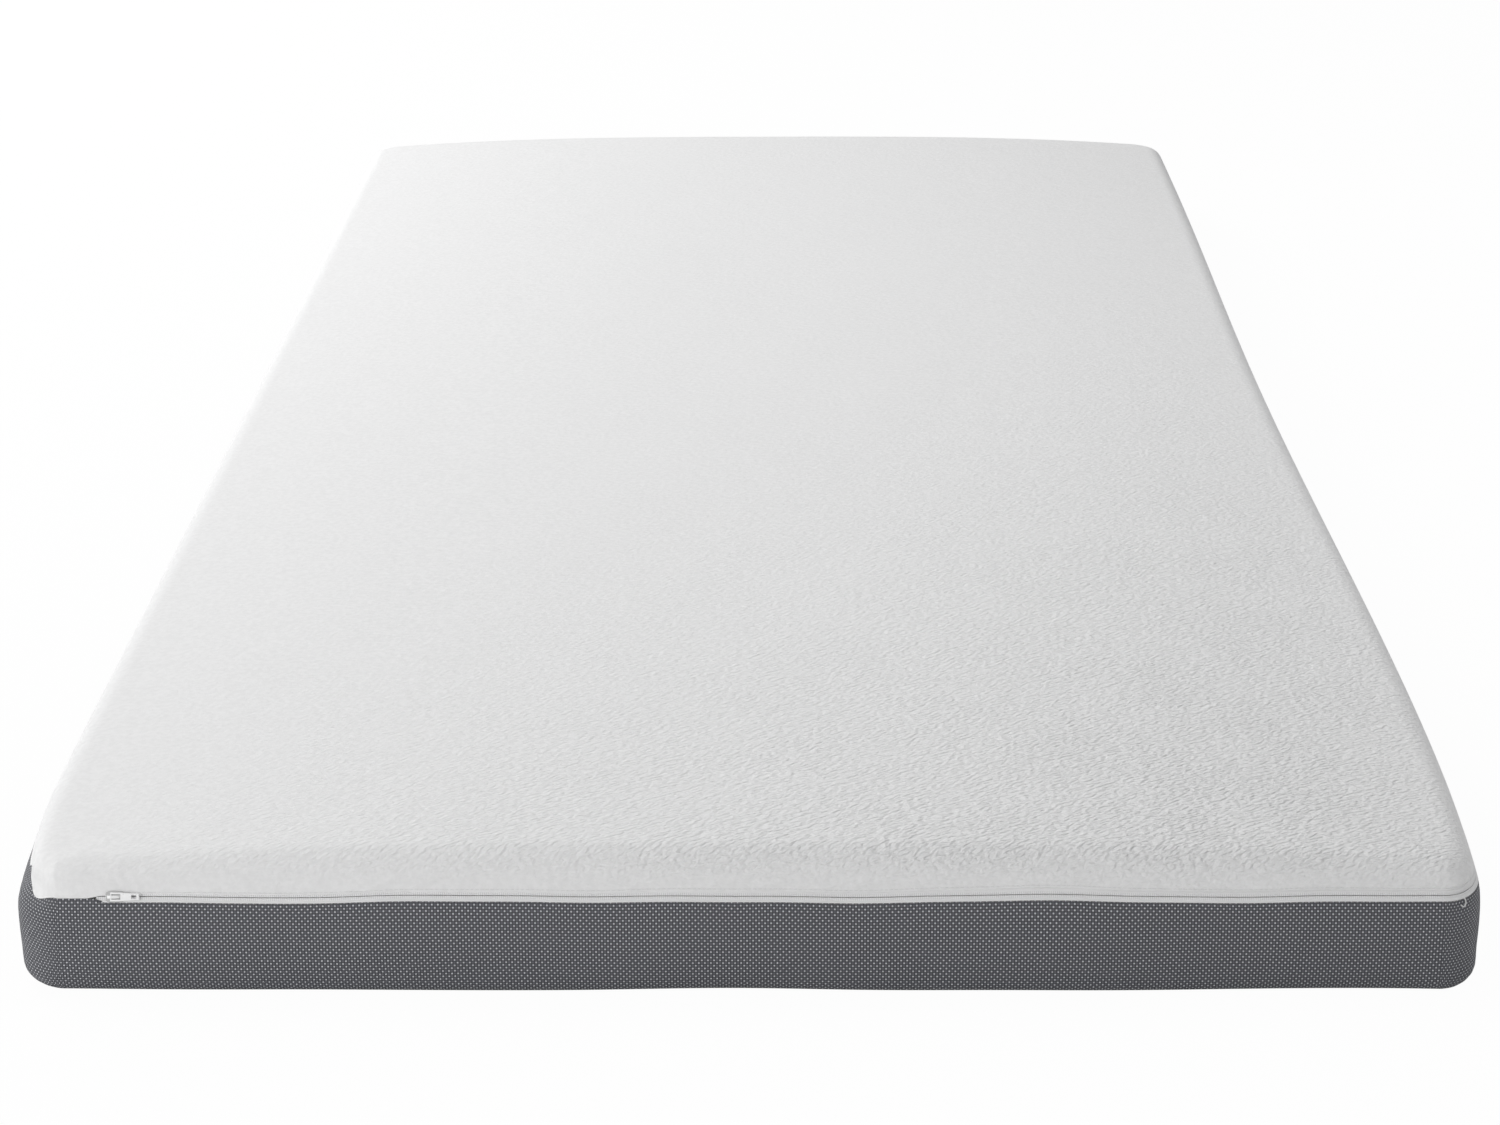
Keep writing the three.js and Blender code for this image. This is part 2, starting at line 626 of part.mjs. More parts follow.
function pullTab() {
  const start = -pull.barWidth / 2;
  const end = start + pull.length;
  const [head, tail, corner] = [pull.headHalf, pull.tailHalf, 0.7];
  const neck = start + pull.barWidth + pullWindow.length;
  const outline = new THREE.Shape().moveTo(start, -head + corner);
  outline.quadraticCurveTo(start, -head, start + corner, -head);
  outline.lineTo(neck, -head + 0.1);
  outline.lineTo(end - corner, -tail);
  outline.quadraticCurveTo(end, -tail, end, -tail + corner);
  outline.lineTo(end, tail - corner);
  outline.quadraticCurveTo(end, tail, end - corner, tail);
  outline.lineTo(neck, head - 0.1);
  outline.lineTo(start + corner, head);
  outline.quadraticCurveTo(start, head, start, head - corner);
  const holeEnd = end - pullHole.fromEnd;
  outline.holes.push(rectangleHole(start + pull.barWidth, neck, pullWindow.half));
  outline.holes.push(rectangleHole(holeEnd - pullHole.length, holeEnd, pullHole.half));
  return plate(outline, -pull.thickness / 2, pull.thickness / 2, 0.15);
}
add(pullGroup, 'pull_tab', pullTab(), materials.enamel);

export default mattress;
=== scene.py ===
# %% [markdown]
# A pressure relief mattress: two foams in a thin sleeve, inside a zipped cover with a white stretch-knit
# top and a grey spacer-mesh border. Everything soft here is cloth on one shared shape, so the whole
# lesson turns on one idea: work out where the cover's skin runs once, and let every strip, tape, coil and
# stitch ask that skin for its place. The slider and its pull are hard parts, and stay as the CAD made
# them.

import bmesh
import bpy
import numpy as np
from mathutils import Matrix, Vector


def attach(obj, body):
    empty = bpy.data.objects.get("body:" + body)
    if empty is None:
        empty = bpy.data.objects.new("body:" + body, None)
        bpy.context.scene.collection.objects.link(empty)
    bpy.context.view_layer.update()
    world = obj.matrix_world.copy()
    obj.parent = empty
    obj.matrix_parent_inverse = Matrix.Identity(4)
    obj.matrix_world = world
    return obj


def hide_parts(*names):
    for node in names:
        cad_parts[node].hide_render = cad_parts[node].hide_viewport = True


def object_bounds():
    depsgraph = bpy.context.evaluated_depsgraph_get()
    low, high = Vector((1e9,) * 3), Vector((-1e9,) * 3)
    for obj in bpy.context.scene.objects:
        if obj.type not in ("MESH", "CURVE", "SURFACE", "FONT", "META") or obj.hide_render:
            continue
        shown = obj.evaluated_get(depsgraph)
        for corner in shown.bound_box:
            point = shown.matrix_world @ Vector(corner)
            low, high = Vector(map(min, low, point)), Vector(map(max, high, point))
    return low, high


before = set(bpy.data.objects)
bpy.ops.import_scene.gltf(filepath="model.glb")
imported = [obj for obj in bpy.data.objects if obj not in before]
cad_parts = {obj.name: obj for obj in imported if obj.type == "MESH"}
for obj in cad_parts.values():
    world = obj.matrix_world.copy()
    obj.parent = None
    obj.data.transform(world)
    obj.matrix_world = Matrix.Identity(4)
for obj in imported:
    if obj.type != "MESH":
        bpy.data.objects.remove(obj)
cad_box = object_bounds()
low, high = cad_box
width, length = high.x - low.x, high.y - low.y
print(f"frame: {width:.3f} x {length:.3f} m, {len(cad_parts)} nodes")

# %% [markdown]
# The cover's side, cut across, is a chain of gentle curves: a round foot, a side that is widest at a
# little over half its height, a band that leans back for the zip, and a shoulder that runs out flat on
# top. Such a chain could be traced by hand with many points, but five quadratic curves that share their
# tangents need only their end points and one control point each.

# %% Profile of the side, as inset and height
MM = 0.001
corner_radius = 38 * MM
seam_inset = 14 * MM
border_height = 61.6 * MM
bulge_height = 0.58 * border_height
border_top_inset = 3 * MM
zip_band = 6.4 * MM
zip_lean = np.radians(20)
shoulder_inset = 24 * MM
shoulder_height = border_height + 19.7 * MM
crown_rise = high.z - shoulder_height

band_top = (border_top_inset + zip_band * np.sin(zip_lean), border_height + zip_band * np.cos(zip_lean))
upper_control = border_height - border_top_inset / np.tan(zip_lean)
shoulder_control = band_top[0] + (shoulder_height - band_top[1]) * np.tan(zip_lean)
foot, foot_control = (1.9 * MM, 10 * MM), (3.74 * MM, 0.3 * MM)
widest, border_top = (0, bulge_height), (border_top_inset, border_height)
CURVES = np.array([
    [(seam_inset, 0.3 * MM), foot_control, foot],
    [foot, (0, 20 * MM), widest],
    [widest, (0, upper_control), border_top],
    [border_top, np.add(border_top, band_top) / 2, band_top],
    [band_top, (shoulder_control, shoulder_height), (shoulder_inset, shoulder_height)],
])


def sample_profile(steps=200):
    """Points of the five quadratic curves, (1-t)^2 a + 2t(1-t) b + t^2 c, and their unit tangents."""
    t = np.linspace(0, 1, steps)[None, :, None]
    a, b, c = CURVES[:, 0, None], CURVES[:, 1, None], CURVES[:, 2, None]
    points = (1 - t) ** 2 * a + 2 * t * (1 - t) * b + t**2 * c
    tangents = (1 - t) * (b - a) + t * (c - b)
    tangents /= np.linalg.norm(tangents, axis=2, keepdims=True)
    return points.reshape(-1, 2), tangents.reshape(-1, 2)


profile, tangent = sample_profile()
walked = np.r_[0, np.cumsum(np.linalg.norm(np.diff(profile, axis=0), axis=1))]
s_foot, s_widest, s_border, s_hem, s_end = walked[199::200]
s_middle = (s_border + s_hem) / 2
print(f"side: {s_end / MM:.1f} mm up the skin, zip band from {s_border / MM:.1f} to {s_hem / MM:.1f} mm")

# %% [markdown]
# In plan the mattress is a rectangle with rounded corners. A place on it is one number, the distance u
# round the widest line from the front-left corner. Eight knots, the ends of four straight runs and four
# quarter turns, are enough: position and facing direction both run evenly from knot to knot, so numpy's
# interp gives thousands of places in one call. Further in, the corner's turning circle shrinks to
# nothing, so that the rings of the top panel close neatly on a line down the middle instead of crossing
# over.

# %% Outline in plan
core_x, core_y = width / 2 - corner_radius, length / 2 - corner_radius
run_x, run_y, arc = 2 * core_x, 2 * core_y, np.pi / 2 * corner_radius
knots = np.r_[0, np.cumsum([run_x, arc, run_y, arc, run_x, arc, run_y, arc])]
perimeter = knots[-1]
inner_radius = corner_radius - shoulder_inset


def place(u):
    """Corner rectangle's nearest point and facing angle, each linear in u between the eight knots."""
    u = np.mod(u, perimeter)
    x = np.interp(u, knots, core_x * np.array([-1, 1, 1, 1, 1, -1, -1, -1, -1]))
    y = np.interp(u, knots, core_y * np.array([-1, -1, -1, 1, 1, 1, 1, -1, -1]))
    return x, y, np.interp(u, knots, np.pi / 2 * np.array([-1, -1, 0, 0, 1, 1, 2, 2, 3]))


def plan(u, inset):
    """Point inset metres inside the widest line: the rectangle drawn in, plus the turning radius."""
    x, y, facing = place(u)
    inward = np.clip((width / 2 - inset) / (width / 2 - shoulder_inset), 0, 1)
    radius = np.where(inset < shoulder_inset, corner_radius - inset, inner_radius * inward)
    beyond = inset - (corner_radius - radius)
    px = x * (1 - beyond / core_x) + radius * np.cos(facing)
    py = y * (1 - beyond / core_y) + radius * np.sin(facing)
    return px, py, facing


def stations(step):
    """Values of u about step apart: whole numbers of steps on each run and arc, twice as many on arcs."""
    parts = []
    for i in range(8):
        count = int(np.ceil((knots[i + 1] - knots[i]) / step)) * (2 if i % 2 else 1)
        parts.append(np.linspace(knots[i], knots[i + 1], count, endpoint=False))
    return np.concatenate(parts)


print(f"outline: {perimeter:.3f} m round")

# %% [markdown]
# A real cover never lies as true as its pattern. The long sides bow in a little, the front corners pull
# in where the cover is tight, the zip line wanders by about a millimetre, and the foot lifts here and
# there. One way is to sculpt each piece, but then neighbours would part or cross. Here the unevenness
# belongs to the shared skin instead, as a few slow sine waves, so the border, zip and top all move
# together.

# %% How the cover settles
def waves(u, cycles, phases, shares):
    """Sum of sines that fit a whole number of cycles round the mattress, so that the ends meet."""
    angle = 2 * np.pi * np.multiply.outer(u / perimeter, cycles) + phases
    return np.sin(angle) @ np.array(shares)


def side_bow(facing, y):
    """Sideways shift of the outline: up to three half waves along a side and a pull at its front corner."""
    t = (y + length / 2) / length
    near_front = np.clip(1 - t, 0, 1)
    one, two, three = np.sin(np.pi * t), np.sin(2 * np.pi * t), np.sin(3 * np.pi * t)
    right = -12.9 * near_front**16 - 5.8 * one + 0.4 * two + 2 * three
    left = -11.5 * near_front**36 - 1.75 * one
    turned = np.cos(facing)
    return turned * np.where(turned > 0, right, left) * MM


def from_corner(u):
    """Signed distance round the outline from the middle of the front-left corner's arc."""
    return np.mod(u + arc / 2 + perimeter / 2, perimeter) - perimeter / 2


def zip_wander(u):
    """How far the zip line strays up or down the skin, fading out where the slider is parked."""
    free = np.clip((np.mod(u, perimeter) - 0.045) / 0.08, 0, 1)
    return waves(u, [31, 19, 73], [0.6, 2.1, 4.4], [0.5, 0.45, 0.15]) * MM * free


def billow(u, s):
    """How far the side stands proud: slow waves that die away at the zip, and corners with a full foot."""
    belly = np.sin(np.pi * np.clip(s / s_border, 0, 1))
    swell = waves(u, [11, 27, 41], [1.0, 3.0, 5.2], [0.6, 0.5, 0.35]) * belly
    drawn_in = 2.2 * np.exp(-((from_corner(u) / (45 * MM)) ** 2)) * belly
    lift = np.exp(-(((s - 0.5 * s_foot) / (9 * MM)) ** 2))
    full = 1.8 * np.abs(np.sin(2 * place(u)[2])) * np.exp(-(((s - s_foot) / (7 * MM)) ** 2))
    return (swell + full - drawn_in - waves(u, [17, 29], [0.2, 1.9], [0.6, 0.4]) * lift) * MM


def tuck(u, s):
    """At the corner without a zip the closed seam is drawn inwards, and the top's edge with it."""
    far = from_corner(u)
    across = np.exp(-((far / np.where(far > 0, 21 * MM, 70 * MM)) ** 2))
    height = (s - s_middle) / np.where(s > s_middle, 15 * MM, 9 * MM)
    return -7 * MM * across * np.exp(-(height**2))


right_side = side_bow(0.0, np.linspace(-length / 2, length / 2, 100))
print(f"the right side is drawn in by up to {-right_side.min() / MM:.1f} mm")

# %% [markdown]
# Three functions now answer where a point of the cover lies: up the side and over the shoulder, on the
# domed top, or on a level face inside. All of them start from the same outline and the same bows, which
# is what keeps cloth, zip and foams together.

# %% Points on the skin
half = round(width / 2 / MM)  # the middle line's inset, in millimetres


def dome(x):
    """The top's extra height over its side edges: a cubic ease that is steepest at the edge."""
    t = np.clip(width / 2 - np.abs(x) - shoulder_inset, 0, None) / (width / 2 - shoulder_inset)
    return crown_rise * (1 - (1 - t) ** 3)


def on_skin(u, s, out=0.0):
    """Point u round and s up the skin, out metres proud of it, settled with the rest of the cover."""
    u, s, out = np.broadcast_arrays(u, s, out)
    strayed = s + zip_wander(u) * np.exp(-(((s - s_middle) / (16 * MM)) ** 2))
    inset, height = np.interp(strayed, walked, profile[:, 0]), np.interp(strayed, walked, profile[:, 1])
    tx, tz = np.interp(strayed, walked, tangent[:, 0]), np.interp(strayed, walked, tangent[:, 1])
    proud = out + billow(u, s) + tuck(u, s)
    x, y, facing = plan(u, inset - proud * tz)
    share = np.clip((height - band_top[1]) / (shoulder_height - band_top[1]), 0, None)
    z = height + proud * tx + share * dome(x)
    return np.stack([x + side_bow(facing, y), y, np.maximum(z, 0.2 * MM)], -1)


def on_crown(u, inset, out=0.0):
    """Point on the top inside the shoulder: the outline drawn in, on the dome, with bows that ease off."""
    u, inset, out = np.broadcast_arrays(u, inset, out)
    x, y, facing = plan(u, inset)
    ease = np.clip((width / 2 - inset) / (width / 2 - shoulder_inset), 0, 1)
    z = shoulder_height + dome(x) + out
    return np.stack([x + side_bow(facing, y) * ease, y, z + soft_hills(x, y) * (1 - ease)], -1)


def level(u, inset, height):
    """Points of a flat face: the outline drawn in by inset, bowed with the cover, at the heights given."""
    x, y, facing = plan(u, inset)
    ease = np.clip(1.1 - inset / (0.45 * width), 0, 1)
    return np.stack([x + side_bow(facing, y) * ease, y, height + 0 * x], -1)


def soft_hills(x, y):
    """Slow unevenness of foam under cloth: crossed sines 17 to 58 cm long and under 1 mm high."""
    long = np.sin(x / 0.061 + 1.3 * np.sin(y / 0.21)) * np.sin(y / 0.093 + 0.8)
    short = np.sin(x / 0.027 + y / 0.071) * np.sin(y / 0.033 - x / 0.09)
    return (0.45 * long + 0.2 * short) * MM


print(f"crown: {crown_rise / MM:.1f} mm over the shoulder, {half} mm to the middle line")

# %% [markdown]
# Every piece below is a grid of points with quads between them, so one helper turns an array into a mesh.
# It can join the last row to the first, for a strip that goes right round, and can close a profile on
# itself. Filling the arrays with foreach_set is much faster than adding faces one by one. Where a grid's
# edge shrinks to a line or a point, merging the doubled vertices closes it.

# %% Grids of points into meshes
def quads(rows, columns, wrap_rows, wrap_columns):
    """Corner indices of a grid's quads, as two arrays: unwrapped (for UVs) and wrapped (for vertices)."""
    i, k = np.meshgrid(
        np.arange(rows if wrap_rows else rows - 1),
        np.arange(columns if wrap_columns else columns - 1),
        indexing="ij",
    )
    corner = np.stack([i, i + 1, i + 1, i], -1), np.stack([k, k, k + 1, k + 1], -1)
    return corner, (corner[0] % rows) * columns + corner[1] % columns


def mesh_object(name, points, faces, uv=None):
    """A mesh object from flat vertex and quad arrays, with smooth faces and optional UVs per corner."""
    mesh = bpy.data.meshes.new(name)
    mesh.vertices.add(len(points))
    mesh.vertices.foreach_set("co", points.astype(np.float32).ravel())
    mesh.loops.add(faces.size)
    mesh.loops.foreach_set("vertex_index", faces.astype(np.int32).ravel())
    mesh.polygons.add(len(faces))
    mesh.polygons.foreach_set("loop_start", np.arange(0, faces.size, 4, dtype=np.int32))
    mesh.polygons.foreach_set("use_smooth", np.ones(len(faces), bool))
    if uv is not None:
        layer = mesh.uv_layers.new(name="cloth")
        layer.data.foreach_set("uv", uv.astype(np.float32).ravel())
    mesh.update(calc_edges=True)
    mesh.validate()
    obj = bpy.data.objects.new(name, mesh)
    bpy.context.scene.collection.objects.link(obj)
    return obj


def grid(name, points, u=None, v=None, wrap_rows=False, wrap_columns=False):
    """A grid of shape (rows, columns, 3) as an object; u and v are the UVs of its rows and columns."""
    rows, columns = points.shape[:2]
    (i, k), faces = quads(rows, columns, wrap_rows, wrap_columns)
    uv = None
    if u is not None:
        v = np.broadcast_to(v, (len(u), v.shape[-1]))
        uv = np.stack([np.asarray(u)[i], v[i, k]], -1)
    return mesh_object(name, points.reshape(-1, 3), faces.reshape(-1, 4), uv)


def weld(obj):
    """Merges doubled vertices, drops what collapsed, and turns a closed shell's faces outwards."""
    bm = bmesh.new()
    bm.from_mesh(obj.data)
    bmesh.ops.remove_doubles(bm, verts=bm.verts, dist=2e-6)
    bmesh.ops.dissolve_degenerate(bm, edges=bm.edges, dist=1e-7)
    bmesh.ops.recalc_face_normals(bm, faces=bm.faces)
    bm.to_mesh(obj.data)
    bm.free()
    return obj


def triangles(obj):
    obj.data.calc_loop_triangles()
    return len(obj.data.loop_triangles)


def finish_piece(obj, body, slot, material, *nodes):
    """Hands a piece its material and body, and the CAD nodes that it stands for."""
    obj.data.materials.clear()
    obj.data.materials.append(material)
    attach(obj, body)
    if nodes:
        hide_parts(*nodes)
    print(f"{obj.name}: {triangles(obj)} triangles, stands for {', '.join(nodes) or 'nothing'}")
    return obj


print(f"a grid of 3 by 4 points has {quads(3, 4, False, False)[1].size // 4} quads")

# %% [markdown]
# Threads and coils are tubes. A tube needs, at each point of its path, two directions square to the path;
# the way straight out of the cloth is always at hand here, so crossing it with the path gives both at
# once. Short stitches are the same bead repeated thousands of times, so the bead has only a few faces,
# and one array sum puts all of them in place.

# %% Tubes and beads
def unit(a):
    return a / np.maximum(np.linalg.norm(a, axis=-1, keepdims=True), 1e-12)


def tube(name, path, away, radius, sides, closed=False):
    """A tube round path: centre + radius (cos a * across + sin a * up), open ends shrunk to a point."""
    ahead = np.roll(path, -1, 0) - np.roll(path, 1, 0)
    if not closed:
        ahead[0], ahead[-1] = path[1] - path[0], path[-1] - path[-2]
    across = unit(np.cross(unit(ahead), away))
    up = np.cross(across, unit(ahead))
    angle = np.linspace(0, 2 * np.pi, sides, endpoint=False)
    ring = np.cos(angle)[None, :, None] * across[:, None] + np.sin(angle)[None, :, None] * up[:, None]
    points = path[:, None] + radius * ring
    if not closed:
        caps = path[[0, -1]][:, None] + np.zeros((2, sides, 3))
        points = np.concatenate([caps[:1], points, caps[1:]])
    along = np.r_[0, np.cumsum(np.linalg.norm(np.diff(points.mean(1), axis=0), axis=1))]
    if closed:
        along = np.r_[along, along[-1] + np.linalg.norm(points[0] - points[-1], axis=1).mean()]
    around = np.linspace(0, 2 * np.pi * radius, sides + 1)
    return weld(grid(name, points, along, around, closed, True))


def beads(name, u, s, out, half_length, half_width, half_height, slant=0.0):
    """Stitches at (u, s, out): an ellipsoid of five rings of six points, laid along the skin."""
    turn = np.linspace(0, np.pi, 5)[:, None]
    angle = np.linspace(0, 2 * np.pi, 6, endpoint=False)[None]
    along = -np.cos(turn) + 0 * angle
    shape = np.stack([along, np.sin(turn) * np.cos(angle), np.sin(turn) * np.sin(angle)], -1)
    centre = on_skin(u, s, out)
    ahead = unit(on_skin(u + MM, s + slant * MM, out) - on_skin(u - MM, s - slant * MM, out))
    away = unit(on_skin(u, s, out + MM) - centre)
    axes = np.stack([half_length * ahead, half_width * np.cross(away, ahead), half_height * away], 1)
    points = centre[:, None, None] + np.einsum("rac,ncd->nrad", shape, axes)
    _, faces = quads(5, 6, False, True)
    faces = faces.reshape(1, -1, 4) + 30 * np.arange(len(u))[:, None, None]
    return weld(mesh_object(name, points.reshape(-1, 3), faces.reshape(-1, 4)))


print(f"a bead has {quads(5, 6, False, True)[1].size // 4} quads before its ends are closed")

# %% [markdown]
# Materials are built from nodes that read the cloth's own UVs, in metres, or Object coordinates. A short
# helper adds a node and plugs in whatever is passed, a plain value or another node's output, which keeps
# each material short enough to read as a sentence. Uniform numbers go straight onto the shader's own
# sockets.

# %% Node helpers
def new_material(name, **settings):
    """An empty node material with a Principled shader, whose uniform settings are set by name."""
    material = bpy.data.materials.new(name)
    material.use_nodes = True
    tree = material.node_tree
    shader = tree.nodes["Principled BSDF"]
    for key, value in settings.items():
        shader.inputs[key.replace("_", " ").title().replace("Ior", "IOR")].default_value = value
    return material, tree, shader


def put(tree, kind, inputs=(), output=0, **settings):
    """Adds a node, sets its properties, plugs inputs by name or number, and returns one output."""
    node = tree.nodes.new(f"ShaderNode{kind}")
    for key, value in settings.items():
        setattr(node, key, value)
    for key, value in dict(inputs).items():
        if isinstance(value, bpy.types.NodeSocket):
            tree.links.new(value, node.inputs[key])
        else:
            node.inputs[key].default_value = value
    return node.outputs[output]


def calc(tree, operation, a, b=0.0, c=0.0):
    return put(tree, "Math", {0: a, 1: b, 2: c}, operation=operation)


def wave(tree, distance, period, shape="SINE"):
    """Sine or cosine of a distance in metres, with a period in metres."""
    return calc(tree, shape, calc(tree, "MULTIPLY", distance, 2 * np.pi / period))


def split(tree, vector):
    """The three parts of a vector."""
    return put(tree, "SeparateXYZ", {0: vector}).node.outputs[:3]


def plug(shader, color, normal=None):
    """Plugs a colour, and a bumped normal if there is one, into the shader."""
    links = shader.id_data.links
    links.new(color, shader.inputs["Base Color"])
    if normal is not None:
        links.new(normal, shader.inputs["Normal"])


def smooth_range(tree, value, start, end, to_start=0.0, to_end=1.0):
    """Smoothstep: to_start below start, to_end above end, an S-curve between."""
    return put(tree, "MapRange", {
        "Value": value, "From Min": start, "From Max": end, "To Min": to_start, "To Max": to_end,
    }, interpolation_type="SMOOTHSTEP")


def blend_color(tree, share, first, second):
    mixed = tree.nodes.new("ShaderNodeMix")
    mixed.data_type = "RGBA"
    for socket, value in zip([mixed.inputs[0], mixed.inputs[6], mixed.inputs[7]], [share, first, second]):
        if isinstance(value, bpy.types.NodeSocket):
            tree.links.new(value, socket)
        else:
            socket.default_value = value
    return mixed.outputs[2]


def grey(value, blue=0.0):
    """A grey whose blue is raised by a share, and its green by a sixth of that."""
    return (value, value * (1 + blue / 6), value * (1 + blue), 1)


def bump(tree, height, distance, normal=None):
    inputs = {"Height": height, "Distance": distance, "Strength": 1.0}
    if normal is not None:
        inputs["Normal"] = normal
    return put(tree, "Bump", inputs)


def object_coords(tree, turn=0.0, stretch=(1, 1, 1)):
    """Object coordinates for a pattern turned about Z and then stretched along its own axes."""
    coords = put(tree, "TexCoord", output=3)
    inputs = {"Vector": coords, "Rotation": (0, 0, turn), "Scale": stretch}
    return put(tree, "Mapping", inputs, vector_type="TEXTURE")


def noise(tree, vector, scale, detail=2.0, roughness=0.5):
    inputs = {"Vector": vector, "Scale": scale, "Detail": detail, "Roughness": roughness}
    return put(tree, "TexNoise", inputs)


print("helpers for nodes are ready")

# %% [markdown]
# The white top is a soft stretch knit that has crinkled in finishing: short ripples about two millimetres
# wide and twice as long, all leaning one way, over a much finer grain of loops. Real displacement that
# fine would need millions of faces, so the ripples are bump from a stretched noise folded into ridges.
# They lie deepest towards the foot's right side, where the cloth is slackest, and fade where it is pulled
# flat or rolls over the shoulder.

# %% White stretch knit
def white_knit():
    material, tree, shader = new_material(
        "white_stretch_knit", roughness=0.88, sheen_weight=0.12, sheen_roughness=0.6, ior=1.4)
    leaning = object_coords(tree, turn=np.radians(32), stretch=(2.3, 1, 1))
    ripples = noise(tree, leaning, 470, detail=1, roughness=0.4)
    ridges = smooth_range(tree, ripples, 0.15, 0.85)
    plain = object_coords(tree)
    across, along, above = split(tree, plain)
    slack = calc(tree, "SUBTRACT", calc(tree, "MULTIPLY", across, 1.6), along)
    depth = smooth_range(tree, slack, 0.0, 1.7, 0.12, 1.0)
    patchy = smooth_range(tree, noise(tree, plain, 14, detail=1), 0.35, 0.65, 0.85, 1.0)
    on_top = smooth_range(tree, above, 72 * MM, 90 * MM, 0.3, 1.0)
    share = calc(tree, "MULTIPLY", depth, calc(tree, "MULTIPLY", patchy, on_top))
    crinkle = calc(tree, "MULTIPLY", ridges, share)
    normal = bump(tree, noise(tree, plain, 38, detail=2), 0.5 * MM)
    normal = bump(tree, crinkle, 1.9 * MM, normal)
    normal = bump(tree, noise(tree, plain, 1400, detail=1), 0.12 * MM, normal)
    shade = smooth_range(tree, noise(tree, plain, 260, detail=2), 0.3, 0.7)
    plug(shader, blend_color(tree, shade, grey(0.79), grey(0.83)), normal)
    return material


WHITE_KNIT = white_knit()
print("material:", WHITE_KNIT.name)

# %% [markdown]
# The border is spacer mesh: two knitted nets held apart by springy yarns. Seen close, its grey crossings
# lie in rows with dark lines between them, and every other crossing is a light knot. The product of two
# cosines, one along the strip and one up it, holds all of that in a single value: it is zero on the dark
# lines, its size peaks at every crossing, and its sign tells the knots from the rest. Noise bends the
# rows a little, and each knot catches the light differently.

# %% Grey spacer mesh
PITCH_ALONG, PITCH_UP = 3.6 * MM, 3.72 * MM


def grey_mesh():
    material, tree, shader = new_material("grey_spacer_mesh", roughness=0.72, sheen_weight=0.05)
    coords = put(tree, "UVMap", uv_map="cloth")
    bend = put(tree, "TexNoise", {"Vector": coords, "Scale": 22, "Detail": 2}, output=1)
    shift = put(tree, "VectorMath", {0: bend, 1: (0.5, 0.5, 0.5)}, operation="SUBTRACT")
    shift = put(tree, "VectorMath", {0: shift, 1: (0.5 * MM, 1.0 * MM, 0)}, operation="MULTIPLY")
    bent = put(tree, "VectorMath", {0: coords, 1: shift}, operation="ADD")
    along, up, _ = split(tree, bent)
    rows, columns = wave(tree, up, PITCH_UP, "COSINE"), wave(tree, along, PITCH_ALONG, "COSINE")
    chequer = calc(tree, "MULTIPLY", columns, rows)
    cell = put(tree, "CombineXYZ", {
        0: calc(tree, "ROUND", calc(tree, "MULTIPLY", along, 2 / PITCH_ALONG)),
        1: calc(tree, "ROUND", calc(tree, "MULTIPLY", up, 2 / PITCH_UP)),
    })
    chance = put(tree, "TexWhiteNoise", {0: cell}, noise_dimensions="2D")
    glint = smooth_range(tree, chance, 0, 1, 0.88, 1)
    knot = calc(tree, "MULTIPLY", smooth_range(tree, chequer, 0.42, 0.9), glint)
    crossing = smooth_range(tree, calc(tree, "ABSOLUTE", chequer), 0.02, 0.6)
    yarn = blend_color(tree, noise(tree, coords, 900, detail=1), grey(0.11, 0.16), grey(0.15, 0.15))
    # The dark lines between the crossings are painted shade in the low gaps of the net; the yarn itself is
    # the lighter grey.
    yarn_and_gap_shade = blend_color(tree, crossing, grey(0.065, 0.16), yarn)
    hills = bump(tree, noise(tree, coords, 30), 1.4 * MM)
    raised = calc(tree, "MULTIPLY_ADD", knot, 0.6, crossing)
    plug(shader, blend_color(tree, knot, yarn_and_gap_shade, grey(0.66, 0.06)), bump(tree, raised, 0.35 * MM, hills))
    return material


GREY_MESH = grey_mesh()
print(f"material: {GREY_MESH.name}, knots every {PITCH_ALONG / MM:.1f} by {PITCH_UP / MM:.2f} mm")

# %% [markdown]
# The hidden cloths are plainer. The bottom panel is a tight grey weave, the sleeve a ribbed cotton
# stockinette that stretches over the foams, and the foams show open cells. All three patterns are waves
# or cells in Object coordinates, so they need no UVs and stay the same size on every face.

# %% Weaves and foams
def woven(name, dark, light, thread_width, blue=0.0, depth=0.25 * MM):
    """Plain weave: two crossed sine waves multiplied, painted light where a thread comes to the top and
    dark where it dips, as painted highlight and painted shade.
    """
    material, tree, shader = new_material(name, roughness=0.85)
    x, y, _ = split(tree, object_coords(tree))
    warp, weft = wave(tree, x, 2 * thread_width), wave(tree, y, 2 * thread_width)
    crossing = calc(tree, "MULTIPLY", warp, weft)
    share = smooth_range(tree, crossing, -0.6, 0.6)
    plug(shader, blend_color(tree, share, grey(dark, blue), grey(light, blue)), bump(tree, crossing, depth))
    return material


def ribbed(name, dark, light, rib_width):
    """Ribs that run along the mattress: one sine across it, with a faint noise of loops; the same sine
    paints the valleys darker, as painted shade.
    """
    material, tree, shader = new_material(name, roughness=0.9, sheen_weight=0.1)
    coords = object_coords(tree)
    rib = wave(tree, split(tree, coords)[0], rib_width)
    height = calc(tree, "ADD", rib, noise(tree, coords, 900))
    share = smooth_range(tree, rib, -1, 1)
    plug(shader, blend_color(tree, share, dark, light), bump(tree, height, 0.3 * MM))
    return material


def foam(name, dark, light, cell):
    """Open-cell foam: distance to the nearest cell's middle, painted dark inside a cell as painted shade,
    and pale on its struts.
    """
    material, tree, shader = new_material(name, roughness=1.0, subsurface_weight=0.05)
    coords = object_coords(tree)
    cells = put(tree, "TexVoronoi", {"Vector": coords, "Scale": 1 / cell})
    share = smooth_range(tree, cells, 0.1, 0.7)
    plug(shader, blend_color(tree, share, dark, light), bump(tree, cells, 0.5 * MM))
    return material


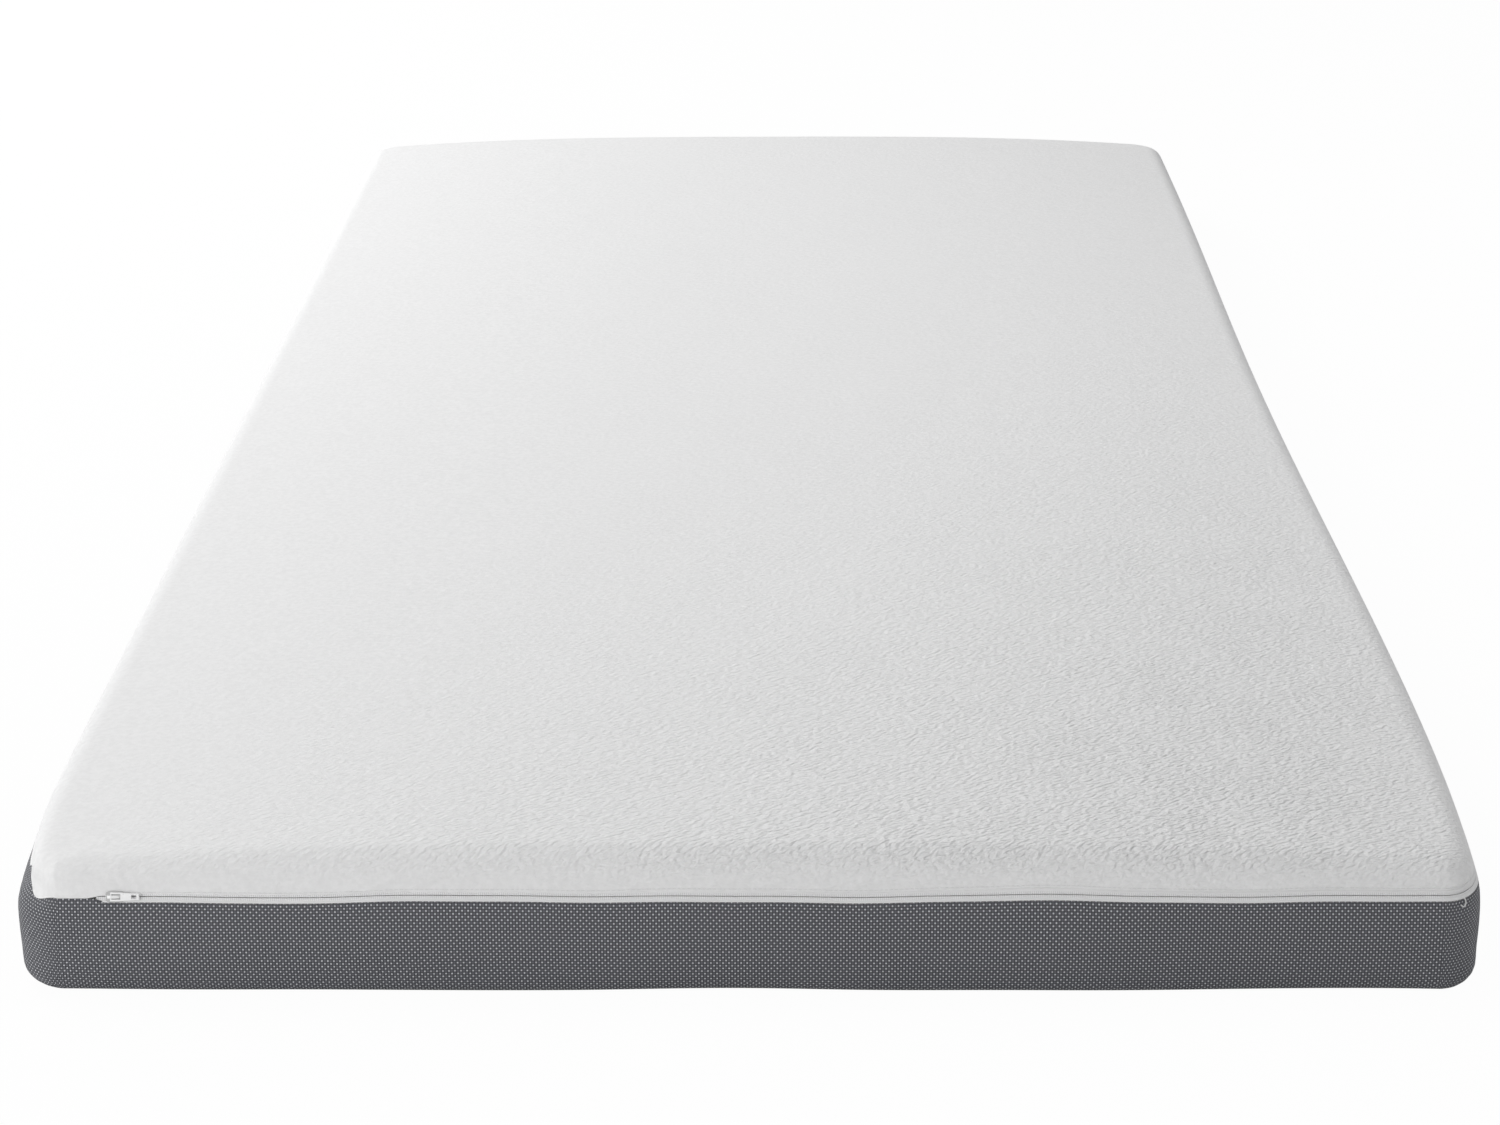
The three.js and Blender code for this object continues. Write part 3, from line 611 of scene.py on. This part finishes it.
BASE_CLOTH = woven("grey_base_weave", 0.035, 0.085, 0.7 * MM, 0.12)
JOIN_CLOTH = woven("grey_tape_weave", 0.045, 0.1, 0.5 * MM, 0.1, 0.15 * MM)
STOCKINETTE = ribbed("cotton_stockinette", (0.72, 0.69, 0.62, 1), (0.86, 0.84, 0.79, 1), 1.6 * MM)
CORE_FOAM = foam("core_foam", (0.52, 0.57, 0.64, 1), (0.76, 0.79, 0.84, 1), 1.4 * MM)
MEMORY_FOAM = foam("memory_foam", (0.76, 0.67, 0.44, 1), (0.89, 0.83, 0.66, 1), 0.8 * MM)
print("materials: base weave, tape weave, stockinette, two foams")

# %% [markdown]
# The zip's tapes are tightly woven, with a row of small ridges along the meeting edges where the coil is
# sewn to the far side: they show as fine upright lines about a millimetre apart. The coil itself is
# nylon, with a slight gloss. Sewing thread is two plies twisted together, which a diagonal wave of bump
# suggests.

# %% Tape, nylon and thread
COIL_PITCH = 1.25 * MM


def zip_tape():
    material, tree, shader = new_material("white_zip_tape", roughness=0.7, sheen_weight=0.08)
    coords = put(tree, "UVMap", uv_map="cloth")
    along, up, _ = split(tree, coords)
    ridge = wave(tree, along, COIL_PITCH)
    near_teeth = smooth_range(tree, calc(tree, "ABSOLUTE", up), 2.2 * MM, 1.5 * MM)
    diagonal = wave(tree, calc(tree, "ADD", along, up), 0.55 * MM)
    height = calc(tree, "MULTIPLY_ADD", ridge, near_teeth, calc(tree, "MULTIPLY", diagonal, 0.25))
    # The colour follows the bump's height: the grooves between the ridges are painted darker, as painted
    # shade.
    share = smooth_range(tree, height, -1.1, 0.5)
    plug(shader, blend_color(tree, share, grey(0.7, 0.01), grey(0.86)), bump(tree, height, 0.1 * MM))
    return material


def nylon():
    material, tree, shader = new_material("white_nylon_coil", roughness=0.32, coat_weight=0.15, ior=1.53)
    speckle = noise(tree, object_coords(tree), 700)
    plug(shader, blend_color(tree, speckle, grey(0.74), grey(0.84)))
    return material


def sewing_thread(name, dark, light):
    material, tree, shader = new_material(name, roughness=0.6, sheen_weight=0.1)
    coords = object_coords(tree, turn=np.radians(40))
    across, _, above = split(tree, coords)
    twist = wave(tree, calc(tree, "ADD", across, above), 0.5 * MM)
    # The colour follows the twist's bump: the grooves between the plies are painted darker, as painted
    # shade.
    share = smooth_range(tree, twist, -1, 0.6)
    plug(shader, blend_color(tree, share, dark, light), bump(tree, twist, 0.06 * MM))
    return material


ZIP_TAPE, NYLON = zip_tape(), nylon()
WHITE_THREAD = sewing_thread("white_thread", grey(0.62), grey(0.86))
GREY_THREAD = sewing_thread("grey_thread", grey(0.16), grey(0.3))
print("materials: zip tape, nylon, threads")

# %% [markdown]
# The slider is a die casting with white stoved enamel. Such enamel is glossy, pools slightly in the
# corners, and wears first where fingers and teeth rub, so a broken noise lets a little grey metal tone
# and a rougher sheen through. The body lies under the pull and gets the same enamel at half its white,
# as painted shade, so the pull's window shows darker than its frame.

# %% Enamel of the slider
def enamel(name, white):
    material, tree, shader = new_material(name, coat_weight=0.35, coat_roughness=0.12)
    coords = object_coords(tree)
    wear = smooth_range(tree, noise(tree, coords, 900, detail=4, roughness=0.7), 0.6, 0.72)
    tree.links.new(smooth_range(tree, wear, 0, 1, 0.26, 0.5), shader.inputs["Roughness"])
    uneven = bump(tree, noise(tree, coords, 450), 0.08 * MM)
    plug(shader, blend_color(tree, wear, grey(white), grey(0.6 * white, 0.02)), uneven)
    return material


# The body is the same white as the rest; its half-bright enamel is painted shade from the pull over it.
BRIGHT, BODY_SHADE_ENAMEL = enamel("white_enamel", 0.93), enamel("white_enamel_painted_shade", 0.5)
for name, material in (("slider_body", BODY_SHADE_ENAMEL), ("slider_bridge", BRIGHT), ("pull_tab", BRIGHT)):
    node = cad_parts[name]
    for material_slot in node.material_slots:
        material_slot.material = material
    print(f"{name}: {triangles(node)} triangles, keeps its CAD shape in {material.name}")

# %% [markdown]
# The zip stops just short of the front-left corner, and there the two fabrics are simply sewn together.
# So each fabric's edge is a height that depends on u: it follows the band's edge along the zip, then
# ramps to the closed seam, quickly beside the slider and slowly on the long side. The seam dips in the
# middle of the corner, where the cloth is drawn tightest, and climbs again on the long side.

# %% Where the two fabrics end
zip_start, start_ramp = 23 * MM, 6 * MM
zip_end, end_ramp = perimeter - arc - 5 * MM, 3.5 * start_ramp


def closed(u):
    """0 along the zip and 1 round the corner without one, with a short ramp first and a long one last."""
    u = np.mod(u, perimeter)
    at_start = np.clip((zip_start + start_ramp - u) / start_ramp, 0, 1)
    at_end = np.clip((u - zip_end + end_ramp) / end_ramp, 0, 1)
    return np.maximum(at_start, at_end)


def seam_line(u):
    """Height up the skin of the closed seam: below the band's middle, and lowest at the corner's middle."""
    far = from_corner(u)
    dip = 4.2 * MM * np.exp(-((far / (15 * MM)) ** 2))
    climb = 1.6 * MM * np.clip(-far / (30 * MM), 0, 1)
    return s_middle - 1.3 * MM - dip + climb


def edge_of(u, own_edge, side):
    """A fabric's edge: its own edge of the zip band, or the seam line half a seam's width to its side."""
    share = closed(u)
    return own_edge * (1 - share) + (seam_line(u) + side * 0.08 * MM) * share


print(f"zip: {(zip_end - zip_start):.2f} m of {perimeter:.2f} m")

# %% [markdown]
# The top panel is one piece of cloth: its hem is turned under along the zip, it rolls over the shoulder,
# and its rings shrink onto a line down the middle of the top. The outside has close rings where it curves
# and wider ones on the flat. The inside needs few, because it only gives the cloth its thickness.

# %% White top panel
def top_rings():
    """Steps over the hem from its edge, then wider ones to the shoulder, as distance up and height out."""
    hem = [(0.0, -0.55), (0.12, -0.2), (0.35, -0.03), (0.7, 0.04), (1.05, -0.12), (1.5, 0.06), (2.2, 0.1)]
    roll = [(2.2 + 0.1 * i * i + 1.6 * i, 0.1 * (1 - i / 9)) for i in range(1, 10)]
    return np.array(hem + roll) * MM


def hem_height(u):
    """The hem's edge up the skin: over most of the upper tape near the slider, clear of it further on."""
    return s_hem - 1.7 * MM * np.exp(-((np.clip(u, 0, 1) / 0.33) ** 2))


def knit_top():
    u = stations(9 * MM)[:, None]
    edge = edge_of(u, hem_height(u), 1)
    rings = top_rings()
    reach = (s_end - edge) / rings[-1, 0]
    stretched = np.where(rings[:, 0] < 2.3 * MM, 1, reach)
    outside = on_skin(u, np.minimum(edge + rings[:, 0] * stretched, s_end), rings[:, 1])
    crown = on_crown(u, np.r_[28, 33, 40, 48, 58, 70, 84, 100, np.linspace(118, 432, 22), 442, half] * MM)
    under_crown = on_crown(u, np.r_[half, 400, 300, 200, 120, 60, 30] * MM, -3 * MM)
    under_side = on_skin(u, edge + np.r_[21, 16, 12, 7, 3, 0.3] * MM * np.minimum(reach, 1),
                         np.r_[-3, -2.6, -1.9, -0.9, -0.9, -0.9] * MM)
    points = np.concatenate([under_crown, under_side, outside, crown], 1)
    return weld(grid("knit_top", points, wrap_rows=True))


top = finish_piece(knit_top(), "mattress", "white_knit", WHITE_KNIT, "top_panel")

# %% [markdown]
# The border is a strip of spacer mesh as long as the mattress is round. Its UVs are simply the distances
# round and up in metres, which is how the cloth was cut, so the net keeps its true pitch everywhere and
# bends only where the cloth does. Its top edge rolls in under the zip's lower tape.

# %% Grey mesh border
def mesh_border():
    u = stations(7 * MM)
    edge = edge_of(u[:, None], s_border, -1)
    lower = np.r_[np.linspace(0, 0.9, 22), 0.94]
    roll = [(-2.6, 0.0), (-1.5, 0.02), (-0.9, -0.08), (-0.45, -0.28), (-0.1, -0.55), (0.1, -0.85)]
    shape = np.array(roll) * MM
    inner = np.array([(-0.3, -1.3), (-3, -1.35), (-8, -1.6), (-13, -3.0)]) * MM
    s = np.concatenate([
        lower * (edge - 3 * MM), edge + shape[:, 0], edge + inner[:, 0],
        np.broadcast_to(np.r_[s_widest, s_foot, s_foot / 2, 0], (len(u), 4)),
    ], 1)
    out = np.r_[np.zeros(len(lower)), shape[:, 1], inner[:, 1], -3 * MM, -3 * MM, -2.6 * MM, -1.7 * MM]
    points = on_skin(u[:, None], s, out)
    rim = np.concatenate([s, s[:, :1]], 1)
    up = np.concatenate([rim, rim[:1]])
    return weld(grid("mesh_border", points, np.r_[u, perimeter], up, True, True))


border = finish_piece(mesh_border(), "mattress", "grey_mesh", GREY_MESH, "border_band")

# %% [markdown]
# Underneath is a plain woven panel, flat on the bed base. Rings of the outline, closed on the middle line
# above and below, make it a slab two millimetres thick with a rounded edge.

# %% Bottom panel
def base_cloth():
    u = stations(14 * MM)[:, None]
    inset = np.r_[half, 300, 150, 60, 25, 16, 15, 14.5, 14.4, 14.5, 15, 18, 40, 150, half] * MM
    height = np.r_[0, 0, 0, 0, 0, 0.0, 0.1, 0.35, 0.8, 1.3, 1.7, 2, 2, 2, 2] * MM
    return weld(grid("base_cloth", level(u, inset, height)[:, ::-1], wrap_rows=True))


base = finish_piece(base_cloth(), "mattress", "grey_cloth", BASE_CLOTH, "bottom_panel")

# %% [markdown]
# The tapes are sewn with the coil on the inside, so what shows is two flat ribbons that meet at a dark
# line. The upper one runs in under the white hem. The lower one is lapped over the grey mesh, and its
# rounded edge stands a little proud as a bright line. Each is a closed strip with its own profile of
# distance from the band's middle and height over the skin.

# %% Zip tapes
def strip(name, u, profile_points, wrap=False):
    """A closed strip along u, whose profile is (up from the band's middle, height over the skin) in mm."""
    up, out = np.array(profile_points).T * MM
    points = on_skin(u[:, None], s_middle + up, out - 1.3 * MM * closed(u[:, None]))
    if not wrap:
        ends = points[[0, -1]].mean(1, keepdims=True) + np.zeros_like(points[:1])
        points = np.concatenate([ends[:1], points, ends[1:]])
        u = np.r_[u[0], u, u[-1]]
    u = np.r_[u, perimeter] if wrap else u
    return weld(grid(name, points, u, np.r_[up, up[0]], wrap, True))


along_zip = stations(6 * MM)
along_zip = np.unique(np.r_[zip_start, along_zip[(along_zip > zip_start) & (along_zip < zip_end)], zip_end])
UPPER_TAPE = [
    (0.14, -1.0), (0.17, -0.66), (0.4, -0.48), (1.0, -0.42), (1.5, -0.5), (2.1, -0.56), (2.7, -0.6),
    (3.4, -1.1), (5.0, -1.15), (10.2, -1.25), (10.2, -1.6), (5.0, -1.6), (3.2, -1.55), (1.9, -1.1),
    (1.0, -1.05), (0.3, -1.15),
]
LOWER_TAPE = [
    (-0.14, -1.0), (-0.3, -1.15), (-1.0, -1.05), (-1.8, -1.05), (-2.5, -0.85), (-3.0, -0.6),
    (-3.4, -0.45), (-3.55, -0.25), (-3.5, -0.02), (-3.3, 0.14), (-2.95, 0.12), (-2.6, -0.12),
    (-2.25, -0.42), (-1.9, -0.54), (-1.5, -0.5), (-1.0, -0.42), (-0.4, -0.48), (-0.17, -0.66),
]
upper_tape = strip("upper_tape", along_zip, UPPER_TAPE)
lower_tape = strip("lower_tape", along_zip, LOWER_TAPE)
finish_piece(upper_tape, "mattress", "zip_tape", ZIP_TAPE, "zip_tape_upper")
finish_piece(lower_tape, "mattress", "zip_tape", ZIP_TAPE, "zip_tape_lower")

# %% [markdown]
# Each half of the zip's chain is one nylon filament wound into a flattened coil. It is a tube along a
# helix, drawn in skin coordinates: forward along u, round an oval in the other two. With over four
# thousand turns a half, a three-sided tube of six points a turn is all that each turn can have.

# %% Coils
TURN_POINTS = 6


def coil(name, side):
    turns = int((along_zip[-1] - along_zip[0] - 14 * MM) / COIL_PITCH)
    angle = np.linspace(0, 2 * np.pi * turns, turns * TURN_POINTS)
    u = along_zip[0] + 5 * MM + angle / (2 * np.pi) * COIL_PITCH
    s = s_middle + side * (1.28 * MM + 0.7 * MM * np.cos(angle))
    out = -1.95 * MM + 0.36 * MM * np.sin(angle)
    path = on_skin(u, s, out)
    away = unit(on_skin(u, s, out + MM) - path)
    return tube(name, path, away, 0.17 * MM, 3)


for name, side, node in (("upper_coil", 1, "zip_coil_upper"), ("lower_coil", -1, "zip_coil_lower")):
    finish_piece(coil(name, side), "mattress", "nylon", NYLON, node)

# %% [markdown]
# A lockstitch row shows as short separate beads, each sunk a little at its ends where the thread dives
# through the cloth. The white row holds the top panel's hem. The other row catches the lapped edge of the
# lower tape. Both are the same bead, repeated along the zip.

# %% Stitches
def stitch_row(name, height, out, pitch=3 * MM):
    u = np.arange(zip_start + 2 * MM, zip_end - 2 * MM, pitch)
    return beads(name, u, height(u), np.full_like(u, out), 0.42 * pitch, 0.2 * MM, 0.16 * MM)


finish_piece(stitch_row("hem_stitches", lambda u: hem_height(u) + 1.05 * MM, -0.04 * MM),
             "mattress", "thread", WHITE_THREAD, "top_panel_stitching")
finish_piece(stitch_row("border_stitches", lambda u: s_border - 0.75 * MM + 0 * u, -0.02 * MM),
             "mattress", "thread", GREY_THREAD, "border_stitching")

# %% [markdown]
# At each end of the zip a bar tack stops the slider: passes of thread side by side across both tapes.
# They sit inside, so small round beads close together, in six rows of eight, show them well enough.

# %% Bar tacks
def bar_tack(name, start):
    u = np.repeat(start + np.linspace(0.3, 2.3, 6) * MM, 8)
    s = s_middle + np.tile(np.linspace(-2.1, 2.1, 8), 6) * MM
    return beads(name, u, s, np.full_like(u, -2.15 * MM), 0.34 * MM, 0.34 * MM, 0.2 * MM)


for name, start, node in (("start_bar_tack", zip_start + MM, "zip_start_bartack"),
                          ("end_bar_tack", zip_end - 3.5 * MM, "zip_end_bartack")):
    finish_piece(bar_tack(name, start), "mattress", "thread", WHITE_THREAD, node)

# %% [markdown]
# Overlock thread wraps a raw edge in a helix. Two seams inside the cover have it: the long one between
# border and bottom panel, and the short one behind the closed corner. Both are tubes along a flattened
# helix, like the coils, only slacker.

# %% Overlocked seams
def helix(name, start, end, pitch, centre, swing, material, slot, node, wrap=False):
    """A thread round an oval: centre(u, aside, above) is a point, and swing holds the half widths."""
    turns = int((end - start) / pitch)
    angle = np.linspace(0, 2 * np.pi * turns, turns * TURN_POINTS, endpoint=not wrap)
    u = start + angle / (2 * np.pi * turns) * (end - start)
    path = centre(u, swing[0] * np.cos(angle), swing[1] * np.sin(angle))
    away = unit(centre(u, 0 * u, 0 * u + MM) - centre(u, 0 * u, 0 * u))
    return finish_piece(tube(name, path, away, 0.18 * MM, 3, wrap), "mattress", slot, material, node)


def bottom_seam(u, aside, above):
    """Points round the bottom seam: aside and above its middle, which lies inside the seam."""
    x, y, facing = plan(u, seam_inset + 1.3 * MM + aside)
    return np.stack([x + side_bow(facing, y), y, 2.75 * MM + above], -1)


helix("bottom_overlock", 0, perimeter, 3 * MM, bottom_seam, (0.85 * MM, 0.2 * MM),
      GREY_THREAD, "thread", "bottom_seam_overlock", wrap=True)
helix("corner_overlock", zip_end + MM, perimeter + zip_start - MM, 2 * MM,
      lambda u, aside, above: on_skin(u, seam_line(u) + aside, -1.85 * MM + above), (0.8 * MM, 0.2 * MM),
      WHITE_THREAD, "thread", "corner_closing_seam")

# %% [markdown]
# The border strip's two ends meet inside the head end under a short woven tape. It is a small closed
# strip that follows the inside of the mesh, worked out from the same skin a few millimetres in.

# %% Join tape
def join_tape():
    middle = knots[4] + 0.25 * run_x
    u = middle + np.linspace(-10, 10, 11) * MM
    s = np.linspace(s_foot, s_border - 12.5 * MM, 10)
    up = np.r_[s, s[::-1]] - s_middle
    out = np.r_[np.full(10, -3.4), np.full(10, -3.8)]
    return strip("join_tape", u, np.stack([up / MM, out], -1))


finish_piece(join_tape(), "mattress", "grey_cloth", JOIN_CLOTH, "border_join_tape")

# %% [markdown]
# At the front-right corner a loop of light thread has been left standing out of the mesh just under the
# zip. Its path is part of a circle on the skin, opened by a third, with both ends dipping back into the
# cloth.

# %% Thread loop on the corner
def thread_loop():
    radius, drop, round_corner = 2.6 * MM, 2.2 * MM, arc * 28 / 90
    angle = np.radians(np.linspace(-150, 80, 40))
    u = run_x + round_corner + radius * np.cos(angle)
    s = s_border - drop + radius * np.sin(angle)
    out = 1.0 * MM - 1.25 * MM * np.abs(np.linspace(-1, 1, 40)) ** 6
    path = on_skin(u, s, out)
    return tube("thread_loop", path, unit(on_skin(u, s, out + MM) - path), 0.4 * MM, 10)


finish_piece(thread_loop(), "mattress", "thread", WHITE_THREAD, "corner_thread_loop")

# %% [markdown]
# Inside the cover lie the foams. The core is cut square on top, and the comfort layer sits on it and
# fills the shoulder and crown. Both are padded pieces made of rings like the cover's, held in by the
# sleeve's thickness. They could be plain blocks, since nobody sees them, but a cover taken off should
# show what is really there.

# %% Foams
def heights_at(target, out):
    """Distance up the skin at which the surface out metres from it reaches a height."""
    heights = profile[:, 1] + out * tangent[:, 0]
    return np.interp(target, heights, walked)


cover_room, sleeve_room, foam_gap = 4.5, 0.8, 0.6
FOAM_OUT = -(cover_room + sleeve_room + foam_gap) * MM
CORE_TOP, FOAM_FLOOR = border_height - 4 * MM, 3.6 * MM
FLOOR_INSETS = np.r_[half, 200, 60, 24] * MM
LID_INSETS = np.r_[30, 45, 70, 110, np.linspace(150, half, 13)] * MM


def core_block():
    u = stations(14 * MM)[:, None]
    sides = on_skin(u, np.linspace(s_foot * 0.75, heights_at(CORE_TOP - MM, FOAM_OUT), 9), FOAM_OUT)
    floor = level(u, FLOOR_INSETS, FOAM_FLOOR)
    lid = level(u, np.r_[12, 30, 100, 250, half] * MM, CORE_TOP)
    return weld(grid("core_block", np.concatenate([floor, sides, lid], 1), wrap_rows=True))


def comfort_slab():
    u = stations(12 * MM)[:, None]
    sides = on_skin(u, np.linspace(heights_at(CORE_TOP + 1.4 * MM, FOAM_OUT), s_end, 12), FOAM_OUT)
    floor = level(u, np.r_[half, 250, 100, 30, 12] * MM, CORE_TOP + 0.4 * MM)
    lid = on_crown(u, LID_INSETS, FOAM_OUT)
    return weld(grid("comfort_slab", np.concatenate([floor, sides, lid], 1), wrap_rows=True))


core = finish_piece(core_block(), "mattress", "core_foam", CORE_FOAM, "foam_core")
comfort = finish_piece(comfort_slab(), "mattress", "memory_foam", MEMORY_FOAM, "comfort_layer")

# %% [markdown]
# A thin tube of stockinette holds the foams together when the cover is off for washing, and it is open
# across the head end where they were pushed in. It is drawn as a single surface with the mouth's faces
# left out, and a Solidify modifier gives the knit its thickness and a rim round the mouth.

# %% Inner sleeve
SIDE_OUT, LID_OUT = -4.6, -3.5


def in_mouth(face):
    """Whether a face lies in the opening across the head end."""
    x, y, z = face.calc_center_median()
    return y > length / 2 - 12 * MM and abs(x) < 0.35 and 18 * MM < z < 54 * MM


def stocking():
    u = stations(12 * MM)[:, None]
    floor = level(u, FLOOR_INSETS, 2.4 * MM)
    sides = on_skin(u, np.linspace(s_foot * 0.8, s_end, 24), np.linspace(SIDE_OUT, LID_OUT, 24) * MM)
    lid = on_crown(u, LID_INSETS, LID_OUT * MM)
    obj = weld(grid("stocking", np.concatenate([floor, sides, lid], 1), wrap_rows=True))
    bm = bmesh.new()
    bm.from_mesh(obj.data)
    mouth = [face for face in bm.faces if in_mouth(face)]
    bmesh.ops.delete(bm, geom=mouth, context="FACES")
    bm.to_mesh(obj.data)
    bm.free()
    solidify = obj.modifiers.new("knit_thickness", "SOLIDIFY")
    solidify.thickness, solidify.offset = 0.8 * MM, -1
    print(f"stocking: mouth of {len(mouth)} faces at the head end")
    return obj


sleeve = finish_piece(stocking(), "mattress", "stockinette", STOCKINETTE, "inner_sleeve")

# %% [markdown]
# The mattress is shown from the foot end, a little right of the middle and about twenty degrees above it,
# with a longish lens. The camera's three axes are worked out from its pitch, turn and roll, and become
# the columns of its matrix.

# %% Camera
def add_camera(place_at, pitch, turn, roll, lens):
    """Right, up and back axes from the angles: forward dips by pitch, swings by turn, then rolls."""
    pitch, turn, roll = np.radians([pitch, turn, roll])
    forward = np.array([np.sin(turn) * np.cos(pitch), np.cos(turn) * np.cos(pitch), -np.sin(pitch)])
    level_right = np.array([np.cos(turn), -np.sin(turn), 0])
    level_up = np.cross(level_right, forward)
    right = level_right * np.cos(roll) + level_up * np.sin(roll)
    up = level_up * np.cos(roll) - level_right * np.sin(roll)
    camera = bpy.data.objects.new("camera", bpy.data.cameras.new("camera"))
    bpy.context.scene.collection.objects.link(camera)
    camera.matrix_world = Matrix(np.column_stack([right, up, -forward]).tolist()).to_4x4()
    camera.location = place_at
    camera.data.lens, camera.data.sensor_width = lens, 36
    camera.data.clip_end = 60
    bpy.context.scene.camera = camera
    return camera


camera = add_camera((0.0222, -2.8759, 0.9322), pitch=19.283, turn=-0.638, roll=-0.299, lens=83.37)
print("camera: lens", camera.data.lens, "mm at", [round(v, 3) for v in camera.location])

# %% [markdown]
# Studio light: a bright even surround so that white cloth on a white floor keeps its shape, and large
# soft boxes. One beyond the head end and to the left is low enough to rake across the crinkled knit, one
# hangs high on the left, a low one at the front lights the side as brightly as the top, and a weak one
# fills the right. The floor is white and shows as evenly as a lit cyclorama, but throws only its own soft
# bounce.

# %% Light and floor
def soft_box(name, at, aim, size, watts):
    light = bpy.data.objects.new(name, bpy.data.lights.new(name, "AREA"))
    light.data.energy, light.data.size = watts, size
    back = unit(np.subtract(at, aim))
    right = unit(np.cross((0, 0, 1), back))
    light.matrix_world = Matrix(np.column_stack([right, np.cross(back, right), back]).tolist()).to_4x4()
    light.location = at
    bpy.context.scene.collection.objects.link(light)


world = bpy.data.worlds.new("surround")
world.use_nodes = True
world.node_tree.nodes["Background"].inputs["Color"].default_value = (0.995, 0.995, 1, 1)
world.node_tree.nodes["Background"].inputs["Strength"].default_value = 0.365
bpy.context.scene.world = world
soft_box("rake", (-1.9, 2.6, 1.5), (0, 0, 0.05), 1.8, 45)
soft_box("high", (-1.6, 0.4, 2.4), (0, -0.3, 0.05), 2.0, 36)
soft_box("front", (-1.8, -3.2, 1.0), (0, -0.9, 0.05), 1.6, 35)
soft_box("right", (2.6, -0.6, 1.3), (0.3, -0.6, 0.05), 1.6, 12)


def white_floor():
    """A wide square whose paint bounces light as a matt white, but shows to the camera as an even glow."""
    mesh = bpy.data.meshes.new("floor")
    mesh.from_pydata([(-9, -9, 0), (9, -9, 0), (9, 14, 0), (-9, 14, 0)], [], [(0, 1, 2, 3)])
    paint, tree, shader = new_material("floor_paint", roughness=0.9)
    shader.inputs["Base Color"].default_value = grey(0.86)
    glow = put(tree, "Emission", {"Color": (1, 1, 1, 1), "Strength": 1.0})
    seen = calc(tree, "MULTIPLY", put(tree, "LightPath"), 0.97)
    lit = put(tree, "MixShader", {0: seen, 1: shader.outputs[0], 2: glow})
    tree.links.new(lit, tree.nodes["Material Output"].inputs["Surface"])
    mesh.materials.append(paint)
    obj = bpy.data.objects.new("floor", mesh)
    obj.location.z = -0.3 * MM
    bpy.context.scene.collection.objects.link(obj)
    return obj


floor = white_floor()
bpy.context.scene.view_settings.view_transform = "Standard"
print("light: surround, four soft boxes, white floor")
